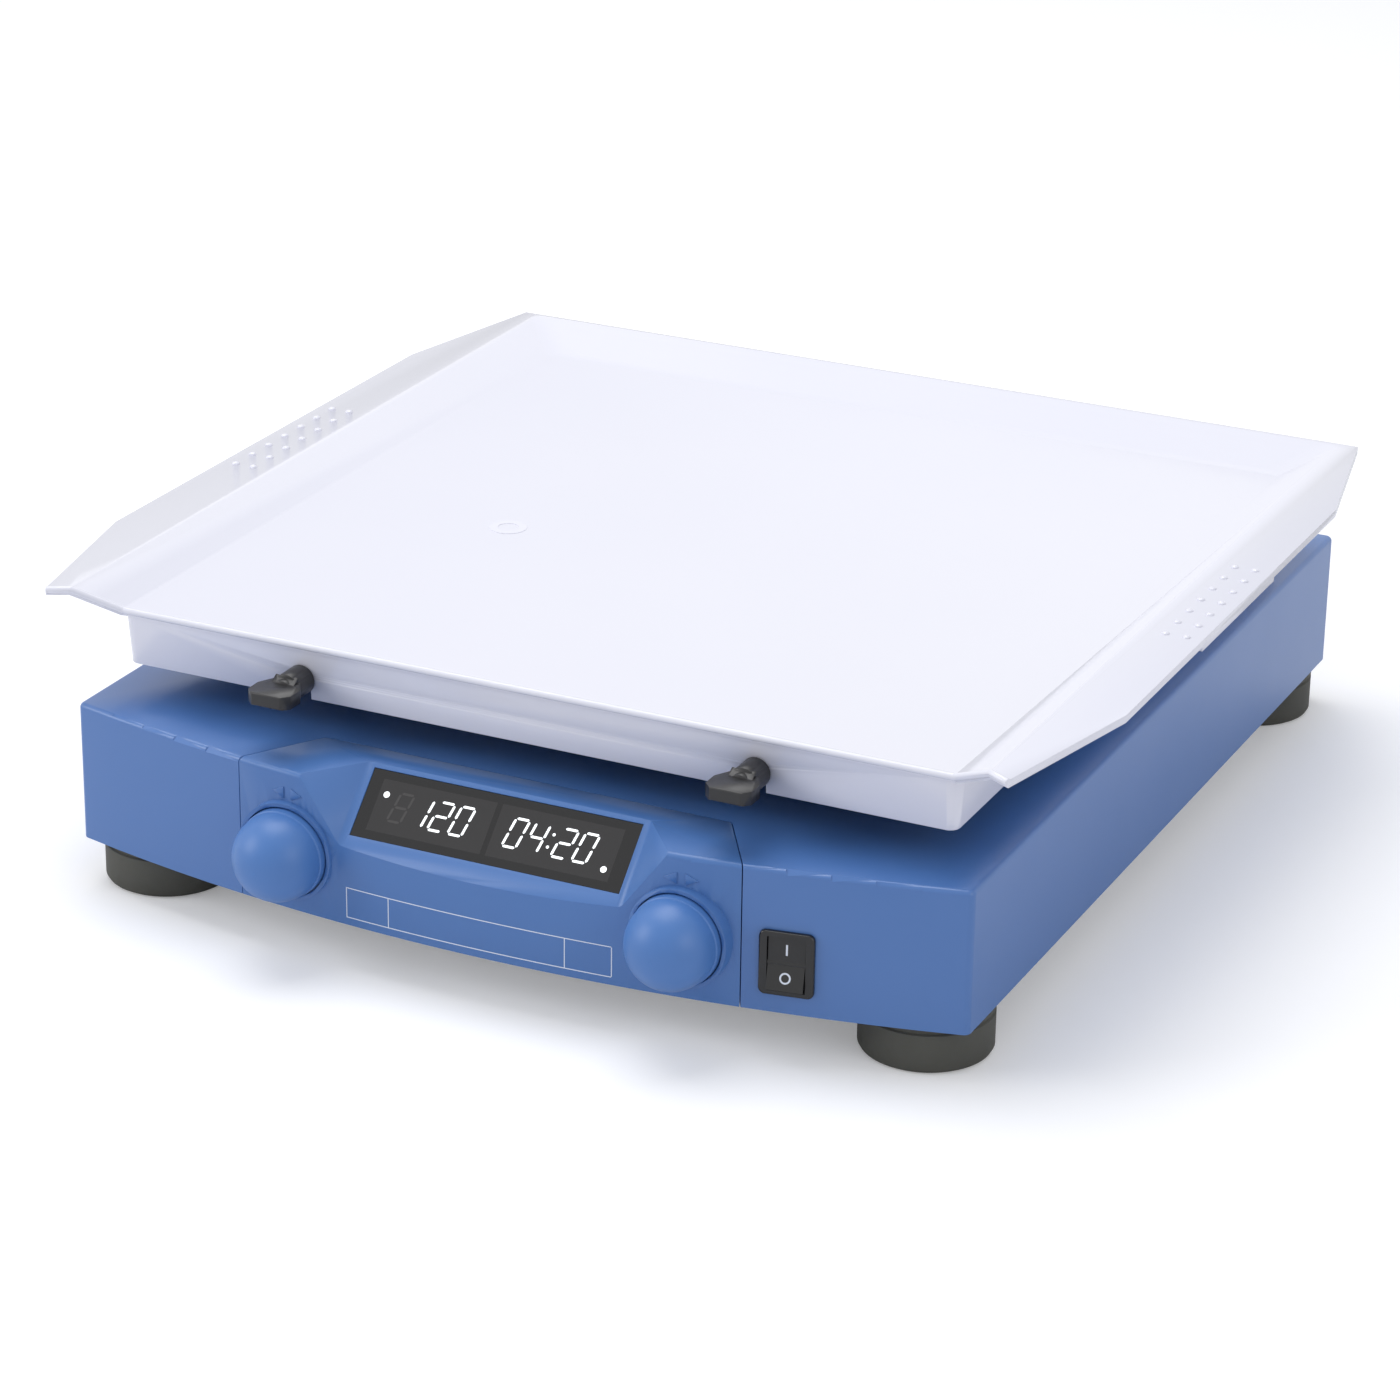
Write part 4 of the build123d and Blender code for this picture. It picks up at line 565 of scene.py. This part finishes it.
def bar_tree():
    """A chamfered bar on each point, turned by the attribute named turn."""
    tree = bpy.data.node_groups.new("numeral_bars", "GeometryNodeTree")
    tree.interface.new_socket("Geometry", in_out="INPUT", socket_type="NodeSocketGeometry")
    for label, kind, value in (
        ("Length", "NodeSocketFloat", 4.9 * MM), ("Width", "NodeSocketFloat", 0.95 * MM),
        ("Thickness", "NodeSocketFloat", 0.03 * MM), ("Finish", "NodeSocketMaterial", None),
    ):
        socket = tree.interface.new_socket(label, in_out="INPUT", socket_type=kind)
        if value is not None:
            socket.default_value = value
    tree.interface.new_socket("Geometry", in_out="OUTPUT", socket_type="NodeSocketGeometry")
    start = tree.nodes.new("NodeGroupInput")
    end = tree.nodes.new("NodeGroupOutput")
    outline = tree.nodes.new("GeometryNodeCurvePrimitiveQuadrilateral")
    tree.links.new(start.outputs["Length"], outline.inputs["Width"])
    tree.links.new(start.outputs["Width"], outline.inputs["Height"])
    half = tree.nodes.new("ShaderNodeMath")
    half.operation = "MULTIPLY"
    half.inputs[1].default_value = CHAMFER_SHARE
    tree.links.new(start.outputs["Width"], half.inputs[0])
    chamfer = tree.nodes.new("GeometryNodeFilletCurve")
    chamfer.mode = "POLY"
    chamfer.inputs["Count"].default_value = 1
    tree.links.new(outline.outputs["Curve"], chamfer.inputs["Curve"])
    tree.links.new(half.outputs[0], chamfer.inputs["Radius"])
    fill = tree.nodes.new("GeometryNodeFillCurve")
    tree.links.new(chamfer.outputs["Curve"], fill.inputs["Curve"])
    raise_up = tree.nodes.new("GeometryNodeExtrudeMesh")
    raise_up.inputs["Individual"].default_value = False
    tree.links.new(fill.outputs["Mesh"], raise_up.inputs["Mesh"])
    tree.links.new(start.outputs["Thickness"], raise_up.inputs["Offset Scale"])
    under = tree.nodes.new("GeometryNodeFlipFaces")
    tree.links.new(fill.outputs["Mesh"], under.inputs["Mesh"])
    both = tree.nodes.new("GeometryNodeJoinGeometry")
    tree.links.new(raise_up.outputs["Mesh"], both.inputs["Geometry"])
    tree.links.new(under.outputs["Mesh"], both.inputs["Geometry"])
    closed = tree.nodes.new("GeometryNodeMergeByDistance")
    closed.inputs["Distance"].default_value = JOIN_REACH
    tree.links.new(both.outputs["Geometry"], closed.inputs["Geometry"])
    turn = tree.nodes.new("GeometryNodeInputNamedAttribute")
    turn.data_type = "FLOAT"
    turn.inputs["Name"].default_value = "turn"
    spin = tree.nodes.new("ShaderNodeCombineXYZ")
    tree.links.new(turn.outputs["Attribute"], spin.inputs["Z"])
    place = tree.nodes.new("GeometryNodeInstanceOnPoints")
    tree.links.new(start.outputs["Geometry"], place.inputs["Points"])
    tree.links.new(closed.outputs["Geometry"], place.inputs["Instance"])
    tree.links.new(spin.outputs[0], place.inputs["Rotation"])
    real = tree.nodes.new("GeometryNodeRealizeInstances")
    tree.links.new(place.outputs["Instances"], real.inputs["Geometry"])
    coat = tree.nodes.new("GeometryNodeSetMaterial")
    tree.links.new(real.outputs["Geometry"], coat.inputs["Geometry"])
    tree.links.new(start.outputs["Finish"], coat.inputs["Material"])
    tree.links.new(coat.outputs["Geometry"], end.inputs["Geometry"])
    return tree


BARS = bar_tree()

# %% Rows of numerals
def numerals(name, glyphs, material, lift):
    """Bars for a row of numerals, each given by its sign and its middle in the window plane."""
    points, turns = [], []
    for glyph, x, y in glyphs:
        for bar in LIT[glyph]:
            side, level, upright = SEGMENTS[bar]
            points.append((x + side * NUMERAL_WIDTH / 2, y + level * NUMERAL_HEIGHT / 2, 0))
            turns.append(math.pi / 2 if upright else 0.0)
    row = run_tree(host_object(name, points, {"turn": turns}), BARS, {"Finish": material})
    middle = sum(y for _, _, y in glyphs) / len(glyphs)
    lean = Matrix.Identity(4)
    lean[0][1] = math.tan(SLANT)
    shift = Matrix.Translation((0, middle, 0)) @ lean @ Matrix.Translation((0, -middle, 0))
    lift_off = Matrix.Translation((0, 0, lift - WINDOW_SINK))
    row.data.transform(DISPLAY @ lift_off @ shift)
    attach(row, "base")
    return row


ROW_Y = 0.4 * MM
LEFT_X = [-39.5 * MM, -31.0 * MM, -22.5 * MM, -14.0 * MM]
RIGHT_X = [8.5 * MM, 17.0 * MM, 28.5 * MM, 37.0 * MM]
ROWS = {
    "ghost_numerals": ("8", LEFT_X[:1], ghost_segment, 0.03 * MM),
    "speed_numerals": ("120", LEFT_X[1:], lit_segment, 0.05 * MM),
    "time_numerals": ("0420", RIGHT_X, lit_segment, 0.05 * MM),
}
for name, (text, places, material, lift) in ROWS.items():
    row = numerals(name, [(glyph, x, ROW_Y) for glyph, x in zip(text, places)], material, lift)
    print(row.name, "faces:", len(row.data.polygons))

# %% [markdown]
# ## Lamps beside the numerals
# A round lamp glows at the side of each field, and two dots part hours from minutes. They are
# thin discs in the same lit finish, made with the slab helper, because there are only four.

# %% Lamps and dots
SIGN_LIFT = 0.03 * MM
SIGN_THICKNESS = 0.03 * MM
SIDE_LAMPS = ((-47.0 * MM, 4.5 * MM, 1.25 * MM, 24), (46.5 * MM, -6.0 * MM, 1.25 * MM, 24))
COLON_X = 22.75 * MM
COLON_SLANT = 0.17
COLON = [(COLON_X + y * COLON_SLANT, y, 0.6 * MM, 16) for y in (2.9 * MM, -2.2 * MM)]


def on_window(x, y, height):
    """A point just above the number fields."""
    return display_point(x, y, height + SIGN_LIFT)


work = bmesh.new()
for x, y, radius, count in (*SIDE_LAMPS, *COLON):
    add_slab(work, circle_outline(x, y, radius, count), on_window, SIGN_THICKNESS)
dots = to_object(work, "indicator_dots", lit_segment)
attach(dots, "base")
print(dots.name, "faces:", len(dots.data.polygons))

# %% [markdown]
# ## Print on the panel
# Thin white lines frame a label band under the display. They follow the bowed front. A flat
# line would sink into it, so each is a strip of short faces on the arc, a few hundredths of a
# millimetre thick.

# %% Helper for strips
def add_strip(target, x_from, x_to, z_low, z_high, out_low, out_high, steps=24):
    """Add a closed strip on the bowed front between two heights."""
    corners = ((z_low, out_low), (z_low, out_high), (z_high, out_high), (z_high, out_low))
    columns = []
    for i in range(steps + 1):
        x = x_from + (x_to - x_from) * i / steps
        columns.append([target.verts.new(front_point(x, z, out)) for z, out in corners])
    for a, b in zip(columns, columns[1:]):
        for i in range(4):
            j = (i + 1) % 4
            target.faces.new((a[i], a[j], b[j], b[i]))
    target.faces.new(columns[0])
    target.faces.new(reversed(columns[-1]))


# %% Label frame
LINE = 0.35 * MM
INK_UNDER, INK_OVER = -0.05 * MM, 0.04 * MM
LEFT_END, RIGHT_END = -55.3 * MM, 54.5 * MM
DIVIDERS = (-37 * MM, 36 * MM)
LOW, HIGH = 22.0 * MM, 34.0 * MM
work = bmesh.new()
for z in (LOW, HIGH):
    add_strip(work, LEFT_END, RIGHT_END, z, z + LINE, INK_UNDER, INK_OVER, 48)
for x in (LEFT_END, *DIVIDERS, RIGHT_END):
    add_strip(work, x, x + LINE, LOW + LINE, HIGH, INK_UNDER, INK_OVER, 1)
label_frame = to_object(work, "label_frame", white_print)
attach(label_frame, "base")
print(label_frame.name, "faces:", len(label_frame.data.polygons))

# %% [markdown]
# ## Turn arrows
# Above each dial two small triangles are moulded in the panel, pointing left and right. They are
# slabs on the bowed front with softened edges, because a bump would not be part of the mesh.

# %% Arrows
ARROW_Z = 66 * MM
ARROW_NEAR, ARROW_FAR = 1.6 * MM, 6.6 * MM
ARROW_HALF = 2.3 * MM
ARROW_SINK, ARROW_THICKNESS = 0.1 * MM, 0.55 * MM
ARROW_BEVEL = 0.15 * MM


def on_front(x, z, height):
    """A point on the bowed front, sunk a little so that the slab is rooted in it."""
    return front_point(x, z, height - ARROW_SINK)


work = bmesh.new()
for centre in (-DIAL_X, DIAL_X):
    for sign in (-1, 1):
        near, far = centre + sign * ARROW_NEAR, centre + sign * ARROW_FAR
        corners = [(near, ARROW_Z - ARROW_HALF), (far, ARROW_Z), (near, ARROW_Z + ARROW_HALF)]
        add_slab(work, corners, on_front, ARROW_THICKNESS)
arrows = to_object(work, "turn_arrows", panel_plastic)
soften(arrows, ARROW_BEVEL)
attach(arrows, "base")
print(arrows.name, "faces:", len(arrows.data.polygons))

# %% [markdown]
# ## Marks on the rocker
# A short bar above and a ring below stand for on and off. They are thin slabs on the two faces of
# the rocker, whose upper end is pressed in at rest, so each gets the lean of its own face.

# %% Places on the rocker
ROCKER_X, ROCKER_Z = 0.1204, 0.039
ROCKER_TIP = math.radians(10)
ROCKER_HALF = 10.2
ROCKER_END_RISE, ROCKER_MIDDLE_RISE = 2.4, 0.9
MARK_SINK = 0.02 * MM
rocker_frame = (
    Matrix.Translation(front_point(ROCKER_X, ROCKER_Z))
    @ Matrix.Rotation(math.asin(ROCKER_X / FRONT_RADIUS), 4, "Z")
    @ Matrix.Rotation(math.radians(90) - ROCKER_TIP, 4, "X")
)
face_lean = math.atan2(ROCKER_END_RISE - ROCKER_MIDDLE_RISE, ROCKER_HALF)


def on_rocker(upper):
    """A placing function for the upper or the lower face of the rocker."""
    lean = face_lean if upper else -face_lean
    crest = Matrix.Translation((0, 0, ROCKER_MIDDLE_RISE * MM))
    face = rocker_frame @ crest @ Matrix.Rotation(lean, 4, "X")
    return lambda x, y, height: face @ Vector((x, y, height - MARK_SINK))


# %% Rocker marks
BAR_HALF, BAR_LOW, BAR_HIGH = 0.35 * MM, 3.2 * MM, 7.4 * MM
CIRCLE_Y, CIRCLE_INNER, CIRCLE_OUTER = -5.3 * MM, 1.45 * MM, 2.1 * MM
MARK_THICKNESS = 0.06 * MM
bar = [(-BAR_HALF, BAR_LOW), (BAR_HALF, BAR_LOW), (BAR_HALF, BAR_HIGH), (-BAR_HALF, BAR_HIGH)]
work = bmesh.new()
add_slab(work, bar, on_rocker(True), MARK_THICKNESS)
add_ring(work, 0, CIRCLE_Y, CIRCLE_INNER, CIRCLE_OUTER, on_rocker(False), MARK_THICKNESS, 32)
rocker_marks = to_object(work, "rocker_marks", white_print)
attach(rocker_marks, "rocker")
print(rocker_marks.name, "faces:", len(rocker_marks.data.polygons))

# %% [markdown]
# ## The floor
# The object stands on a plain white floor. More lamp light would make it white but bleach the
# object too. So the camera alone sees the floor a little lighter than it is lit, and the shadow
# stays.

# %% Floor
REACH = 9.0
FLOOR_LIFT = 0.22
floor_mesh = bpy.data.meshes.new("floor")
floor_mesh.from_pydata(
    [(-REACH, -REACH, 0), (REACH, -REACH, 0), (REACH, REACH, 0), (-REACH, REACH, 0)],
    [], [(0, 1, 2, 3)],
)
floor = bpy.data.objects.new("floor", floor_mesh)
scene.collection.objects.link(floor)
floor_finish = bpy.data.materials.new("studio_floor")
floor_finish.use_nodes = True
tree = floor_finish.node_tree
base = tree.nodes["Principled BSDF"]
base.inputs["Base Color"].default_value = (0.86, 0.86, 0.87, 1)
base.inputs["Roughness"].default_value = 0.9
base.inputs["Specular IOR Level"].default_value = 0.1
lift = tree.nodes.new("ShaderNodeEmission")
lift.inputs["Color"].default_value = (1, 1, 1, 1)
lift.inputs["Strength"].default_value = FLOOR_LIFT
path = tree.nodes.new("ShaderNodeLightPath")
added = tree.nodes.new("ShaderNodeAddShader")
chosen = tree.nodes.new("ShaderNodeMixShader")
tree.links.new(base.outputs[0], added.inputs[0])
tree.links.new(lift.outputs[0], added.inputs[1])
tree.links.new(path.outputs["Is Camera Ray"], chosen.inputs["Fac"])
tree.links.new(base.outputs[0], chosen.inputs[1])
tree.links.new(added.outputs[0], chosen.inputs[2])
tree.links.new(chosen.outputs[0], tree.nodes["Material Output"].inputs["Surface"])
floor_mesh.materials.append(floor_finish)
print("floor side:", 2 * REACH, "m")

# %% [markdown]
# ## The background
# The world lights the object softly and evenly from all sides. What the camera sees directly, in
# a reflection or through glass is plain white instead, picked by the kind of ray.

# %% World
SKY_STRENGTH = 0.55
world = bpy.data.worlds.new("studio")
scene.world = world
world.use_nodes = True
sky = world.node_tree
soft = sky.nodes["Background"]
soft.inputs["Color"].default_value = (0.93, 0.95, 1.0, 1)
soft.inputs["Strength"].default_value = SKY_STRENGTH
white = sky.nodes.new("ShaderNodeBackground")
white.inputs["Color"].default_value = (1, 1, 1, 1)
white.inputs["Strength"].default_value = 1.0
rays = sky.nodes.new("ShaderNodeLightPath")
seen, through = (sky.nodes.new("ShaderNodeMath") for _ in range(2))
seen.operation = through.operation = "MAXIMUM"
sky.links.new(rays.outputs["Is Camera Ray"], seen.inputs[0])
sky.links.new(rays.outputs["Is Glossy Ray"], seen.inputs[1])
sky.links.new(seen.outputs[0], through.inputs[0])
sky.links.new(rays.outputs["Is Transmission Ray"], through.inputs[1])
pick = sky.nodes.new("ShaderNodeMixShader")
sky.links.new(through.outputs[0], pick.inputs["Fac"])
sky.links.new(soft.outputs[0], pick.inputs[1])
sky.links.new(white.outputs[0], pick.inputs[2])
sky.links.new(pick.outputs[0], sky.nodes["World Output"].inputs["Surface"])
print("world strength:", SKY_STRENGTH)

# %% [markdown]
# ## The lamps
# One large lamp hangs above, and a weaker one stands on each side. Large lamps give the soft
# shadows of a studio, where small ones would draw hard edges on the glossy tray.

# %% Lamps
def lamp(name, place, target, size, power):
    """A large square lamp aimed at a point."""
    data = bpy.data.lights.new(name, "AREA")
    data.shape = "SQUARE"
    data.size = size
    data.energy = power
    made = bpy.data.objects.new(name, data)
    scene.collection.objects.link(made)
    aim = (Vector(target) - Vector(place)).to_track_quat("-Z", "Y")
    made.matrix_world = Matrix.Translation(place) @ aim.to_matrix().to_4x4()
    return made


LAMPS = {
    "top_lamp": ((-0.5, 0.3, 2.2), (0, 0, 0.05), 1.6, 26),
    "left_lamp": ((-1.9, -1.3, 1.2), (0, 0, 0.08), 1.2, 16),
    "right_lamp": ((2.0, -0.9, 1.1), (0, 0, 0.08), 1.2, 7),
}
for name, (place, target, size, power) in LAMPS.items():
    lamp(name, place, target, size, power)
scene.view_settings.view_transform = "Standard"
print("lamps:", len(LAMPS))
